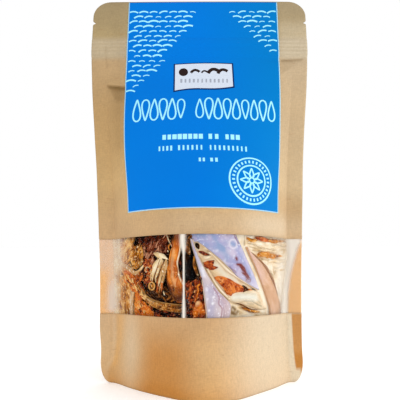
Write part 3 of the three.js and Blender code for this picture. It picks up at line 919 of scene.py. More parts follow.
def ripple_tree():
    """One bowed mark with pointed ends, set on every point with a random turn and size."""
    tree, add, given = new_tree("ripple_marks", {
        "Length": 0.006, "Width": 0.001, "Bow": 0.001, "Seed": 0, "Material": None,
    })
    ends = [
        add("ShaderNodeCombineXYZ", {
            "X": add("ShaderNodeMath", {0: given["Length"], 1: share}, operation="MULTIPLY"),
        })
        for share in (-0.5, 0.5)
    ]
    middle = add("ShaderNodeCombineXYZ", {"Z": given["Bow"]})
    arc = add("GeometryNodeCurveQuadraticBezier", {
        "Resolution": 9, "Start": ends[0], "Middle": middle, "End": ends[1],
    })
    along = add("GeometryNodeSplineParameter")
    centred = add("ShaderNodeMath", {0: along, 1: 0.5}, operation="SUBTRACT")
    squared = add("ShaderNodeMath", {0: centred, 1: centred}, operation="MULTIPLY")
    taper = add("ShaderNodeMath", {0: squared, 1: -3.7, 2: 1}, operation="MULTIPLY_ADD")
    tapered = add("GeometryNodeSetCurveRadius", {"Curve": arc, "Radius": taper})
    thin = add("ShaderNodeMath", {0: given["Width"], 1: 0.5}, operation="MULTIPLY")
    ring = add("GeometryNodeCurvePrimitiveCircle", {"Resolution": 6, "Radius": thin})
    mark = add("GeometryNodeCurveToMesh", {"Curve": tapered, "Profile Curve": ring, "Fill Caps": True})
    turns = {0: (0, -0.32, 0), 1: (0, 0.14, 0), "Seed": given["Seed"]}
    turn = add("FunctionNodeRandomValue", turns, data_type="FLOAT_VECTOR")
    set_on_points(add, given, mark, turn, 0.62, 1.3)
    return tree


ripples = grown_mesh(ripple_tree(), ripple_places(), {
    "Length": 4.9 * MM, "Width": 0.95 * MM, "Bow": 1.5 * MM, "Seed": 4, "Material": PRINT_PALE,
})
bend_onto_label("ripple_print", ripples)
print("the ripples are", len(ripples.polygons), "faces")

# %% [markdown]
# ### Drops, blocks and badge
# A row of outlined drops, alternately upright and upside down, crosses the label in two groups. Below it come
# three rows of small blocks. The round badge is two rings with ticks between them and a rosette of eight
# petals. The same drop makes the row and the petals.

# %% Trees for drops and blocks
RING_SIDES = 6


def drop_outline(add, tall, wide, line):
    """Adds a drop drawn as a closed line, pointed at the top, centred on the origin in the XZ plane."""
    circle = add("GeometryNodeCurvePrimitiveCircle", {"Resolution": 22, "Radius": 0.5})
    place = add("GeometryNodeInputPosition")
    part = add("ShaderNodeSeparateXYZ", {"Vector": place}).outputs
    narrow = add("ShaderNodeMath", {0: part["Y"], 1: -0.85, 2: 0.62}, operation="MULTIPLY_ADD")
    across = add("ShaderNodeMath", {0: part["X"], 1: narrow}, operation="MULTIPLY")
    across = add("ShaderNodeMath", {0: across, 1: wide}, operation="MULTIPLY")
    up = add("ShaderNodeMath", {0: part["Y"], 1: tall}, operation="MULTIPLY")
    moved = add("ShaderNodeCombineXYZ", {"X": across, "Z": up})
    bent = add("GeometryNodeSetPosition", {"Geometry": circle, "Position": moved})
    thin = add("ShaderNodeMath", {0: line, 1: 0.5}, operation="MULTIPLY")
    profile = add("GeometryNodeCurvePrimitiveCircle", {"Resolution": RING_SIDES, "Radius": thin})
    return add("GeometryNodeCurveToMesh", {"Curve": bent, "Profile Curve": profile})


def title_tree():
    """Drops on points, every second one upside down."""
    tree, add, given = new_tree("title_drops", {
        "Tall": 0.013, "Wide": 0.005, "Line": 0.001, "Seed": 0, "Material": None,
    })
    drop = drop_outline(add, given["Tall"], given["Wide"], given["Line"])
    index = add("GeometryNodeInputIndex")
    odd = add("ShaderNodeMath", {0: index, 1: 2}, operation="MODULO")
    half_turn = add("ShaderNodeMath", {0: odd, 1: math.pi}, operation="MULTIPLY")
    turn = add("ShaderNodeCombineXYZ", {"Y": half_turn})
    set_on_points(add, given, drop, turn, 0.9, 1.06)
    return tree


def block_tree():
    """Blocks of one size on points, each a little narrower or wider."""
    tree, add, given = new_tree("block_rows", {"Block": (0.002, 0.001, 0.003), "Seed": 0, "Material": None})
    block = add("GeometryNodeMeshCube", {"Size": given["Block"]})
    sizes = {0: (0.75, 1, 0.94), 1: (1.1, 1, 1.04), "Seed": given["Seed"]}
    size = add("FunctionNodeRandomValue", sizes, data_type="FLOAT_VECTOR")
    placed = add("GeometryNodeInstanceOnPoints", {
        "Points": given["Geometry"], "Instance": block, "Scale": size,
    })
    finish_tree(add, placed, given["Material"])
    return tree

# %% Tree for the badge
def badge_tree():
    """Two rings, ticks between them and a rosette of petals inside."""
    tree, add, given = new_tree("badge", {
        "Outer": 0.013, "Inner": 0.009, "Line": 0.001, "Ticks": 32, "Petals": 8, "Material": None,
    })
    inner, line = given["Inner"], given["Line"]
    thin = add("ShaderNodeMath", {0: line, 1: 0.5}, operation="MULTIPLY")
    profile = add("GeometryNodeCurvePrimitiveCircle", {"Resolution": RING_SIDES, "Radius": thin})
    upright = (math.pi / 2, 0, 0)
    parts = []
    for radius in (given["Outer"], inner):
        ring = add("GeometryNodeCurvePrimitiveCircle", {"Resolution": 64, "Radius": radius})
        tube = add("GeometryNodeCurveToMesh", {"Curve": ring, "Profile Curve": profile})
        parts.append(add("GeometryNodeTransform", {"Geometry": tube, "Rotation": upright}))
    gap = add("ShaderNodeMath", {0: given["Outer"], 1: inner}, operation="SUBTRACT")
    tick_tall = add("ShaderNodeMath", {0: gap, 1: 0.36}, operation="MULTIPLY")
    tick_size = add("ShaderNodeCombineXYZ", {"X": line, "Y": line, "Z": tick_tall})
    tick = add("GeometryNodeMeshCube", {"Size": tick_size})
    between = add("ShaderNodeMath", {0: gap, 1: 0.5, 2: inner}, operation="MULTIPLY_ADD")
    petal_tall, petal_wide, petal_out = (
        add("ShaderNodeMath", {0: inner, 1: share}, operation="MULTIPLY").outputs[0]
        for share in (0.62, 0.42, 0.48)
    )
    petal = drop_outline(add, petal_tall, petal_wide, line)
    for mark, count, radius in ((tick, given["Ticks"], between), (petal, given["Petals"], petal_out)):
        circle = add("GeometryNodeMeshCircle", {"Vertices": count, "Radius": radius})
        ring = add("GeometryNodeTransform", {"Geometry": circle, "Rotation": upright})
        index = add("GeometryNodeInputIndex")
        angle = add("ShaderNodeMath", {0: index, 1: -2 * math.pi}, operation="MULTIPLY")
        angle = add("ShaderNodeMath", {0: angle, 1: count}, operation="DIVIDE")
        angle = add("ShaderNodeMath", {0: angle, 1: math.pi / 2}, operation="ADD")
        turn = add("ShaderNodeCombineXYZ", {"Y": angle})
        parts.append(add("GeometryNodeInstanceOnPoints", {
            "Points": ring, "Instance": mark, "Rotation": turn,
        }))
    joined = add("GeometryNodeJoinGeometry")
    for part in parts:
        feed(joined, {0: part})
    finish_tree(add, joined, given["Material"])
    return tree


# %% Print the drops, the blocks and the badge
TITLE_MIDDLE = 150.5
TITLE_GROUPS = ((-35.5, -10, 6), (0.5, 42, 9))


def row_places(groups, height, pitch):
    """Evenly spaced places along a row, in groups from one length to another."""
    places = []
    for start, end in groups:
        count = max(1, round((end - start) / pitch))
        places += [(start + (k + 0.5) * (end - start) / count, 0, height) for k in range(count)]
    return places


title_places = [(a + (b - a) * k / (n - 1), 0, TITLE_MIDDLE) for a, b, n in TITLE_GROUPS for k in range(n)]
title = grown_mesh(title_tree(), title_places, {
    "Tall": 13.2 * MM, "Wide": 6 * MM, "Line": 1 * MM, "Seed": 3, "Material": PRINT_PALE,
})
bend_onto_label("title_print", title)

# Each row: its name, groups, height, pitch and block size.
BLOCK_ROWS = (
    ("bold_line_print", ((-20.5, 2.5), (4.5, 11.5), (14, 23)), 132.4, 3, (2.2, 1, 3.1)),
    ("thin_line_print", ((-22.8, -14), (-12, 2.5), (5, 27.2)), 125.6, 2.5, (1, 1, 2.9)),
    ("small_line_print", ((-0.8, 3.4), (5.2, 10.4)), 118.2, 2.2, (1.3, 1, 2.3)),
)
blocks = block_tree()
for name, groups, height, pitch, block in BLOCK_ROWS:
    row = grown_mesh(blocks, row_places(groups, height, pitch), {
        "Block": tuple(side * MM for side in block), "Seed": 7, "Material": PRINT_PALE,
    })
    bend_onto_label(name, row)

BADGE_PLACE = (28.6, 0, 107.4)
badge = grown_mesh(badge_tree(), [(0, 0, 0)], {
    "Outer": 13 * MM, "Inner": 8.6 * MM, "Line": 0.95 * MM,
    "Ticks": 30, "Petals": 8, "Material": PRINT_PALE,
})
badge.transform(Matrix.Translation([side * MM for side in BADGE_PLACE]))
bend_onto_label("badge_print", badge)
print("made", len(title_places), "drops, and a badge of", len(badge.polygons), "faces")

# %% [markdown]
# ### The plate
# A white plate sits askew in the middle of the label, with a dark shadow at its edge. It holds a plain disc,
# a row of dark ripples and a row of grey blocks.

# %% Print the plate
PLATE_TOP = ((-14.2, 180.8), (19.2, 181.2))
PLATE_BOTTOM = ((-13.9, 162.9), (19.7, 165.8))
PLATE_WAVE = 0.6
SHADE_NEAR, PLATE_NEAR = PRINT_NEAR - 0.02, PRINT_NEAR + 0.03
MARK_NEAR = PLATE_NEAR + 0.03
DISC_PLACE, DISC_RADIUS, DISC_SIDES = (-9.2, 175.6), 2.7, 28


def plate(name, grow, shift, near, ink):
    """A plate with wavy edges, larger by grow on each side and shifted."""
    u, v = np.meshgrid(np.linspace(0, 1, 36), np.linspace(0, 1, 20))
    (tl, tr), (bl, br) = np.array(PLATE_TOP), np.array(PLATE_BOTTOM)
    u_each, v_each = u[..., None], v[..., None]
    flat = (bl * (1 - u_each) + br * u_each) * (1 - v_each) + (tl * (1 - u_each) + tr * u_each) * v_each
    flat[..., 1] += PLATE_WAVE * np.sin(2 * math.pi * u) * (1 - v) + PLATE_WAVE * np.sin(math.pi * u) * v
    centre = flat.mean((0, 1))
    size = flat.max((0, 1)) - flat.min((0, 1))
    flat = centre + (flat - centre) * (1 + 2 * grow / size) + np.array(shift)
    points, faces = slab(*(on_paper(flat[..., 0], flat[..., 1], out) for out in (near, PRINT_FAR)))
    join_print(make_object(name, points, faces, [ink], smooth=False))


def disc(name, centre, radius, near, ink):
    """A flat round disc."""
    turn = np.linspace(0, 2 * math.pi, DISC_SIDES, endpoint=False)
    rim = np.stack([centre[0] + radius * np.cos(turn), centre[1] + radius * np.sin(turn)], -1)
    flat = np.vstack([rim, rim])
    out = np.repeat([near, PRINT_FAR], DISC_SIDES)
    k = np.arange(DISC_SIDES)
    following = np.roll(k, -1)
    walls = np.stack([k, k + DISC_SIDES, following + DISC_SIDES, following], -1).tolist()
    faces = [k.tolist(), (k[::-1] + DISC_SIDES).tolist(), *walls]
    join_print(make_object(name, on_paper(flat[:, 0], flat[:, 1], out), faces, [ink], smooth=False))


plate("plate_shadow", 0.9, (0, -0.2), SHADE_NEAR, PRINT_SHADE)
plate("white_plate", 0, (0, 0), PLATE_NEAR, PRINT_WHITE)
marks = grown_mesh(ripple_tree(), row_places(((-5, 16.5),), 175.4, 5.2), {
    "Length": 5.2 * MM, "Width": 1.9 * MM, "Bow": 3.4 * MM, "Seed": 9, "Material": PRINT_DARK,
})
bend_onto_label("plate_marks", marks, MARK_NEAR)
grey = grown_mesh(blocks, row_places(((-11.5, 17.5),), 169.6, 2.4), {
    "Block": (1 * MM, MM, 2.6 * MM), "Seed": 12, "Material": PRINT_GREY,
})
bend_onto_label("plate_blocks", grey, MARK_NEAR)
disc("plate_disc", DISC_PLACE, DISC_RADIUS, MARK_NEAR, PRINT_DARK)
print("the plate is", round(PLATE_TOP[1][0] - PLATE_TOP[0][0], 1), "mm wide")

# %% [markdown]
# ## The dried fish
# Behind the film lie dried anchovies that were pressed flat: silvery lilac flanks with cream edges, amber
# bodies, torn cream skins and dark brown meat. Sculpting each by hand isn't repeatable, so every piece is
# lofted: a skin spans two edge curves, and a strand follows one curve. Their points are lengths along the
# paper and heights, read as places on the window, so that each piece curves with the film in front of it.

# %% Curves and masks
FILM_CLEARANCE = 0.62
DEEP_ROOM = 9


def through(points, count):
    """A smooth curve through a few points, as evenly spaced points."""
    p = np.array(points, float)
    p = np.vstack([2 * p[0] - p[1], p, 2 * p[-1] - p[-2]])
    u = np.linspace(0, 1, 24, endpoint=False)[:, None]
    fine = []
    for a, b, c, d in zip(p, p[1:], p[2:], p[3:]):
        cubic = (3 * b - a - 3 * c + d) * u ** 3 + (2 * a - 5 * b + 4 * c - d) * u ** 2 + (c - a) * u + 2 * b
        fine.append(cubic / 2)
    fine = np.vstack([*fine, p[-2:-1]])
    run = np.concatenate([[0], np.cumsum(np.linalg.norm(np.diff(fine, axis=0), axis=1))])
    at = np.linspace(0, run[-1], count)
    return np.stack([np.interp(at, run, column) for column in fine.T], -1)


def soft_noise(x, y, size, seed):
    """Smooth noise of about -1 to 1, with features of this size, from a few plane waves."""
    rng = np.random.default_rng(seed)
    total = 0
    for _ in range(8):
        angle, phase = rng.uniform(0, 2 * math.pi, 2)
        wave = rng.uniform(0.6, 1.5) * math.pi / size
        total += np.sin(wave * (x * math.cos(angle) + y * math.sin(angle)) + phase)
    return total / 3.5


def inside(length, height, depth):
    """Points behind the film, at a depth under the outer face. Towards the side seals the room gets thin, and
    all depths are pressed together in proportion."""
    across = across_at(length, height)
    room = 2 * (SEAL_HALF + bulge(height) * np.maximum(1 - across ** 2, 0) ** FORM_ABOVE)
    share = np.clip((room - 1) / DEEP_ROOM, 0.03, 1)
    return panel(across, height,
                 -FILM_CLEARANCE - share * (np.maximum(depth, FILM_CLEARANCE) - FILM_CLEARANCE))


def near_line(length, height, points, width):
    """How close a place is to a curve: 1 on it, falling smoothly to 0 over about two widths."""
    curve = through(points, 60)
    gap = np.hypot(length[..., None] - curve[:, 0], height[..., None] - curve[:, 1]).min(-1)
    return np.exp(-((gap / width) ** 2))


def drawn_lines(lines, length, height):
    """How strongly a place is marked by lines, each of (strength, width, points)."""
    total = sum(strength * near_line(length, height, points, width) for strength, width, points in lines)
    return np.clip(total, 0, 1)


# Masks also carry painted shade and painted highlights, besides real stains, marks and pale spots.
MASKS = ("stain", "mark", "pale")


def shape(points, faces, run, edge, length, height, tone=0, **masks):
    """One part of a piece: its mesh, and for each point a place on its skin and its distance to the edge."""
    made = {"points": points, "faces": np.asarray(faces), "skin": run / 100, "edge": edge}
    made["tone"] = np.full(len(points), tone)
    for key in MASKS:
        made[key] = drawn_lines(masks[key], length, height) if key in masks else np.zeros(len(points))
    return made


# %% Skins
def skin(left, right, depth, crown, wrinkle, grain, seed, cells, thick=1, **masks):
    """A dried skin between two edge curves of (length, height), crowned towards the film. depth is how far it
    lies behind the film, and grain the size of its wrinkles, all in millimetres."""
    first, last = through(left, cells[0]), through(right, cells[0])
    v = np.linspace(0, 1, cells[1])
    length = first[:, :1] * (1 - v) + last[:, :1] * v
    height = first[:, 1:] * (1 - v) + last[:, 1:] * v
    width = np.linalg.norm(last - first, axis=1)[:, None]
    travel = np.concatenate([[0], np.cumsum(np.linalg.norm(np.diff((first + last) / 2, axis=0), axis=1))])
    along, around = np.broadcast_arrays(travel[:, None], (v - 0.5) * width)
    edge = np.minimum(v, 1 - v) * width
    arch = np.sqrt(np.clip(1 - (2 * v - 1) ** 2, 0, 1))[None]
    relief = wrinkle * soft_noise(along * 0.5, around, grain / 2, seed) * np.clip(edge / 1.5, 0.25, 1)
    near = depth - crown * arch - relief
    far = np.maximum(near, FILM_CLEARANCE) + thick * (0.35 + arch)
    points, faces = slab(inside(length, height, near), inside(length, height, far))
    twice = [np.concatenate([a.ravel(), a.ravel()]) for a in (along, around, edge, length, height)]
    return shape(points, faces, np.stack(twice[:2], -1), *twice[2:], **masks)

# %% Strands
def blade(u):
    """A profile that is widest before its middle and pointed at both ends."""
    return 0.12 + 0.88 * np.sin(math.pi * u ** 0.8) ** 0.8


def dome(u):
    """A profile that is round at both ends."""
    return np.sqrt(np.clip(1 - (2 * u - 1) ** 2, 0.02, 1))


def even(u):
    """A profile of the same width all along."""
    return np.ones(len(u))


def strand(path, tall, thick, profile=blade, wrinkle=0, seed=1, cells=(30, 14), **masks):
    """A body along a path of (length, height, depth): a fish, a shard, a bone or a rolled rim."""
    stations, sides = cells
    spine = through(path, stations)
    size = profile(np.linspace(0, 1, stations))
    tangent = np.gradient(spine[:, :2], axis=0)
    tangent /= np.linalg.norm(tangent, axis=1)[:, None]
    angle = np.linspace(0, 2 * math.pi, sides, endpoint=False)
    high = tall / 2 * size[:, None] * np.cos(angle)
    deep = thick / 2 * np.sqrt(size)[:, None] * np.sin(angle)
    travel = np.concatenate([[0], np.cumsum(np.linalg.norm(np.diff(spine[:, :2], axis=0), axis=1))])[:, None]
    along, around = np.broadcast_arrays(travel, tall * angle / 4)
    swell = 1 + wrinkle * soft_noise(along, high * 2, 3, seed)
    length = spine[:, :1] - tangent[:, 1:] * high * swell
    height = spine[:, 1:2] + tangent[:, :1] * high * swell
    points = inside(length, height, spine[:, 2:] + deep * swell).reshape(-1, 3)
    ring = np.arange(sides)
    faces = []
    for k in range(stations - 1):
        a = k * sides + ring
        b = k * sides + (ring + 1) % sides
        faces += np.stack([a, a + sides, b + sides, b], -1).tolist()
    middle = np.stack([inside(*spine[0]), inside(*spine[-1])])
    first, last = len(points), len(points) + 1
    end = (stations - 1) * sides
    faces += [[first, k, (k + 1) % sides] for k in ring]
    faces += [[last, end + (k + 1) % sides, end + k] for k in ring]
    run = np.stack([along.ravel() + 7 * seed, around.ravel()], -1)
    run = np.vstack([run, run[0], run[-1]])
    edge = np.full(len(run), 9)
    length = np.append(length.ravel(), spine[[0, -1], 0])
    height = np.append(height.ravel(), spine[[0, -1], 1])
    return shape(np.vstack([points, middle]), np.array(faces, object), run, edge, length, height, **masks)


def blob(length, height, depth, size, seed, flat=0.75, **masks):
    """A rounded lump."""
    half = size * 0.5
    path = [(length, height + half, depth), (length + 0.1, height, depth), (length, height - half, depth)]
    return strand(path, size, size * flat, dome, wrinkle=0.16, seed=seed, cells=(12, 12), **masks)


# %% [markdown]
# ### Shreds
# Much of the dried meat is torn into short fibres. Placing each by hand would be slow, so patches of shreds
# are scattered, and each shred gets its own tone, so that pale and dark ones lie side by side. A patch is an
# outline, a count, the angle at which the fibres run and its spread, their length and width, the least and
# most of their depths and tones, and a seed.

# %% Scatter shreds
def in_outline(place, corners):
    """Whether a place lies inside a closed outline."""
    x, y = corners.T
    x_next, y_next = np.roll(x, -1), np.roll(y, -1)
    crosses = (y > place[1]) != (y_next > place[1])
    rise = np.where(y_next == y, 1, y_next - y)
    return bool(np.sum(crosses & (place[0] < x + (place[1] - y) / rise * (x_next - x))) % 2)


def shreds(outline, count, angle, spread, size, depths, tones, seed):
    """Short pointed fibres at random places in an outline, with angle and spread in degrees."""
    rng = np.random.default_rng(seed)
    corners = np.array(outline, float)
    made = []
    while len(made) < count:
        place = rng.uniform(corners.min(0), corners.max(0))
        turn = math.radians(angle + rng.normal(0, spread))
        reach = size[0] * rng.uniform(0.55, 1.3) / 2
        bow = rng.normal(0, 0.16) * reach
        depth, lift = rng.uniform(*depths), rng.uniform(0.1, 0.5)
        width, tone = size[1] * rng.uniform(0.6, 1.4), rng.uniform(*tones)
        if not in_outline(place, corners):
            continue
        way = np.array([math.cos(turn), math.sin(turn)])
        side = np.array([-way[1], way[0]])
        path = [
            (*(place - way * reach), depth + lift), (*(place + side * bow), depth),
            (*(place + way * reach), depth + lift),
        ]
        made.append(strand(path, width, width * 0.7, seed=len(made) + seed, cells=(8, 6), tone=tone))
    return made


def recalculate(mesh):
    """Turns every closed shell of a mesh so that its faces point outwards."""
    work = bmesh.new()
    work.from_mesh(mesh)
    bmesh.ops.recalc_face_normals(work, faces=work.faces)
    work.to_mesh(mesh)
    work.free()


def contents_piece(name, shapes, material, patches=()):
    """Joins shapes and patches of shreds of one finish into a closed mesh that stands for the dried fish."""
    shapes = [*shapes, *(shred for patch in patches for shred in shreds(*patch))]
    start = np.concatenate([[0], np.cumsum([len(s["points"]) for s in shapes])])
    faces = [[int(v) + int(k) for v in f] for s, k in zip(shapes, start) for f in s["faces"]]
    joined = {key: np.concatenate([s[key] for s in shapes]) for key in shapes[0] if key != "faces"}
    points, skin_map = joined.pop("points"), joined.pop("skin")
    piece = make_object(name, points, faces, [material], uvs=skin_map, values=joined)
    recalculate(piece.data)
    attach(piece, "root")
    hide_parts("dried_anchovies")
    print(name, "has", len(faces), "faces")


# %% [markdown]
# ### Finishes of the fish
# Dried skin is thin, oily and half clear, so it is satin over an uneven colour. Fibres run along each body,
# so the colour is a noise stretched along the skin's own map. Each skin also carries values for its points:
# the distance to its edge, where it dries pale and outlined, a tone of its own, and masks for stains, marks,
# painted shade and painted highlights. Small pale specks are painted highlights: glints of light on the oil.

# %% Materials of the fish
SKIN_MAP_MM = 100
SPECK_MM = 1.1


def dried(name, stops, grain, stretch, masks, gloss, edge=None, painted_glint=None, bump_mm=0.25):
    """A dried skin or flesh: stops of position and colour over a grain in millimetres, drawn out by stretch.
    masks holds the paints of the three masks, and edge the paints of the rim and its outline, and a width."""
    material, add, shader, place = new_material(name)
    skin_map = add("ShaderNodeUVMap", uv_map="skin")
    drawn = add("ShaderNodeMapping", {"Vector": skin_map, "Scale": (1 / stretch, 1, 1)})
    pattern = add("ShaderNodeTexNoise", {
        "Vector": drawn, "Scale": SKIN_MAP_MM / grain, "Detail": 4, "Roughness": 0.6, "Distortion": 0.6,
    })
    mottle = add("ShaderNodeTexNoise", {
        "Vector": place, "Scale": per_metre(grain * 2.5), "Detail": 2,
    })
    both = add("ShaderNodeMath", {0: pattern, 1: mottle}, operation="ADD")
    half = add("ShaderNodeMapRange", {"Value": both, "From Min": 0.68, "From Max": 1.32})
    tone = add("ShaderNodeAttribute", attribute_name="tone").outputs["Fac"]
    shaded = add("ShaderNodeMath", {0: half, 1: tone}, operation="ADD")
    colour = add("ShaderNodeValToRGB", {"Fac": shaded})
    ramp_stops(colour, stops)
    paints = []
    # Painted highlights: small pale specks where light glints on the oil.
    if painted_glint:
        specks = add("ShaderNodeTexNoise", {
            "Vector": place, "Scale": per_metre(SPECK_MM), "Detail": 1,
        })
        bright = add("ShaderNodeMapRange", {"Value": specks, "From Min": 0.62, "From Max": 0.7})
        paints.append((bright, painted_glint))
    for key, paint in zip(MASKS, masks):
        paints.append((add("ShaderNodeAttribute", attribute_name=key).outputs["Fac"], paint))
    if edge:
        rim, line, width = edge
        distance = add("ShaderNodeAttribute", attribute_name="edge").outputs["Fac"]
        uneven = {0: mottle, 1: width, 2: distance}
        wander = add("ShaderNodeMath", uneven, operation="MULTIPLY_ADD")
        for far, paint in ((1.62, line), (1.3, rim)):
            limits = {"Value": wander, "From Min": width * far, "From Max": width * (far - 0.2)}
            paints.append((add("ShaderNodeMapRange", limits), paint))
    for share, paint in paints:
        mixed = {0: share, 6: colour, 7: linear(paint)}
        colour = add("ShaderNodeMix", mixed, data_type="RGBA").outputs[2]
    bump = add("ShaderNodeBump", {"Height": pattern, "Strength": 0.7, "Distance": bump_mm * MM})
    feed(shader, {
        "Base Color": colour, "Normal": bump, "Roughness": 0.45, "Specular IOR Level": gloss,
    })
    return material

# %% Mix the finishes
SILVER_SKIN = dried(
    "anchovy_flank_silver_blue", [(0.15, "7f8fbe"), (0.4, "9e9ec4"), (0.6, "b3a8c8"), (0.85, "cbbdd0")],
    6, 1.6, edge=("ead2b4", "6b6480", 0.7), masks=("8c9cbf", "74261c", "d8d0dc"), painted_glint="d9dbe6",
    gloss=0.2, bump_mm=0.12,
)
PINK_SKIN = dried(
    "anchovy_flank_silver_pink", [(0.2, "b5a6b8"), (0.45, "cab9bf"), (0.65, "d6c7c8"), (0.9, "e6dcda")], 6, 2,
    edge=("ecd3b6", "90767c", 0.6), masks=("aaa8c8", "93505e", "f3f0f4"), painted_glint="ebe4ea",
    gloss=0.2, bump_mm=0.12,
)
CREAM_SKIN = dried(
    "anchovy_skin_cream", [(0.1, "b8935f"), (0.3, "dbbd92"), (0.55, "e6ceaa"), (0.85, "f1e2ca")], 2.6, 4,
    masks=("b0712f", "7d5e36", "f3e9da"), painted_glint="f4ead8", gloss=0.2,
)
TAN_SHARD = dried(
    "anchovy_bone_tan", [(0.1, "bb8a52"), (0.35, "d6ac76"), (0.6, "e6c894"), (0.9, "f3e0bc")], 2.4, 4,
    masks=("a8682c", "6a4520", "f3e6cc"), painted_glint="f6ead0", gloss=0.15,
)
CREAM_WEB = dried(
    "anchovy_membrane_cream", [(0.15, "c29f72"), (0.4, "dbbd94"), (0.65, "e3caa6"), (0.9, "ecdac0")], 5, 2,
    edge=("ecd3b0", "b48f68", 0.25), masks=("c08c55", "857a60", "e4dfd0"), gloss=0.2,
)
AMBER_FLESH = dried(
    "anchovy_flesh_amber", [(0.08, "6c2600"), (0.34, "b85304"), (0.6, "d06a0e"), (0.9, "e68a2c")], 2.6, 3,
    masks=("4a1f08", "eec08c", "efc48f"), painted_glint="eca55c", gloss=0.12,
)
RED_FLESH = dried(
    "anchovy_flesh_red_brown", [(0.12, "280a04"), (0.34, "7c260a"), (0.58, "b04812"), (0.85, "dc7c34")],
    1.8, 1.5, masks=("160704", "e7a562", "f0bd8c"), painted_glint="e89a5a", gloss=0.12,
)
DARK_FLESH = dried(
    "anchovy_flesh_dark", [(0.2, "0a0200"), (0.46, "281002"), (0.7, "542806"), (0.95, "945620")], 2.2, 3,
    masks=("040203", "a07c58", "cdb08c"), painted_glint="7a5232", gloss=0.03,
)
UMBER_FIBRES = dried(
    "anchovy_fibres_umber", [(0.1, "1a0602"), (0.36, "541804"), (0.62, "853a1a"), (0.9, "c48764")], 1.5, 6,
    masks=("1a0a06", "c79c88", "d9b8a8"), gloss=0.06,
)
GOLD_SKIN = dried(
    "anchovy_skin_gold", [(0.1, "602f04"), (0.34, "ae620a"), (0.6, "d18a2a"), (0.88, "eebe76")], 1.6, 5,
    masks=("3c1f08", "ecd4ac", "f0e4d0"), painted_glint="f0d09a", gloss=0.1,
)
ROSE_SKIN = dried(
    "anchovy_skin_rose", [(0.2, "c2926c"), (0.5, "cfa17d"), (0.8, "d8b195")], 5, 3,
    edge=("d8a880", "8a5630", 0.3), masks=("e0bcae", "8a5a30", "e6c8b8"), gloss=0.15,
)
OLIVE_SKIN = dried(
    "anchovy_skin_olive", [(0.12, "4c2504"), (0.38, "94500e"), (0.62, "b87124"), (0.9, "dfa456")], 1.4, 1.2,
    edge=("c9904c", "38200c", 0.5), masks=("42260c", "e8c28a", "ecd2a8"), painted_glint="dab07a", gloss=0.1,
)
print("made the finishes of the fish")

# %% [markdown]
# ### The silvery flanks
# Two broad flanks fill the right half of the window. They meet at their upper left tips, and a torn cream
# membrane spans the long gap between them. A blue sheen runs down the upper flank, with a few dark red blood
# marks. Thin lines like these are masks in the mesh, because they have to follow the skin.

# %% Marks on the flanks
BLUE_SHEEN = [
    (0.7, 1.7, [(-5, 77.5), (-2, 77.8), (2, 77)]),
    (0.75, 1.3, [(5.5, 78), (7.5, 75), (9.5, 72.5), (12, 70.5)]),
    (0.7, 2.1, [(10, 70.5), (12.5, 68.5), (14, 66)]), (0.4, 1.6, [(13, 74), (17, 73), (19, 71)]),
    (0.35, 2.5, [(3, 73), (7, 70)]), (0.5, 1.5, [(17.2, 73.3), (17.9, 72.7)]),
]
BLOOD_MARKS = [
    (1, 0.75, [(19.6, 62.8), (22, 62.4), (23.8, 60.6)]), (1, 0.85, [(23.8, 60.6), (25, 58.4), (26.6, 56.2)]),
    (1, 0.9, [(26.4, 56.6), (27.2, 55.8)]), (1, 0.8, [(19.1, 65.9), (19.3, 65.2)]),
    (0.9, 0.45, [(26.2, 55.6), (25.6, 54.2), (27.9, 54), (28.5, 55.2)]),
    (0.6, 0.35, [(15.6, 61.5), (17, 60.2), (18.6, 59.5)]),
    (0.55, 0.35, [(16.6, 59.8), (17.8, 58.8), (19.1, 58.7)]),
    (0.8, 0.4, [(18, 79), (19.2, 76), (20.8, 73.2)]), (0.35, 1.6, [(22, 62), (24.4, 59.4), (26, 56.8)]),
    (0.85, 0.5, [(22.8, 58.6), (24.6, 57.6)]), (0.7, 0.4, [(21.4, 61.6), (23, 59.8)]),
]
PALE_FLANK = [
    (0.6, 3, [(21, 53.5), (27, 52), (33, 51)]), (0.45, 2, [(29, 61), (32, 56.5), (34.6, 51.4)]),
    (0.4, 2, [(23.6, 70), (27, 64.4)]),
    (0.95, 0.5, [(15.5, 74), (17, 75.2), (19, 74.8), (19.9, 73), (19, 71.2), (17, 70.8),
                 (15.5, 72), (15.5, 74)]),
    (0.6, 0.7, [(7.8, 69.2), (8.6, 69.6)]), (0.5, 0.8, [(15, 57.8), (18, 56.6)]),
    (0.5, 0.5, [(11.5, 64.3), (14, 63)]),
]
PINK_VEINS = [
    (0.75, 0.32, [(6.4, 51), (8.4, 48.6), (9.3, 46), (9, 43.6), (10.6, 41.6), (10.6, 39.6), (10.2, 37)]),
    (0.4, 0.3, [(11.4, 42), (12, 39.6), (11.6, 37)]), (0.3, 1.6, [(11.5, 46), (13.5, 42), (13, 38)]),
]
WHITE_SPOTS = [
    (1, 0.55, [(5.8, 43.6), (6.1, 44)]), (0.9, 0.5, [(4, 40.2), (4.2, 40.5)]),
    (0.8, 0.5, [(6.2, 46.6), (6.6, 47)]), (0.6, 0.5, [(3.2, 45.6), (3.4, 46)]),
    (0.6, 0.6, [(2.6, 51), (3, 50)]), (0.5, 0.9, [(0.6, 61), (1.4, 57)]),
]
LILAC_EDGE = [(0.6, 1.6, [(-5.2, 73), (-2.6, 66), (0, 58)]), (0.5, 2.2, [(4, 50), (5, 44), (5, 38)])]

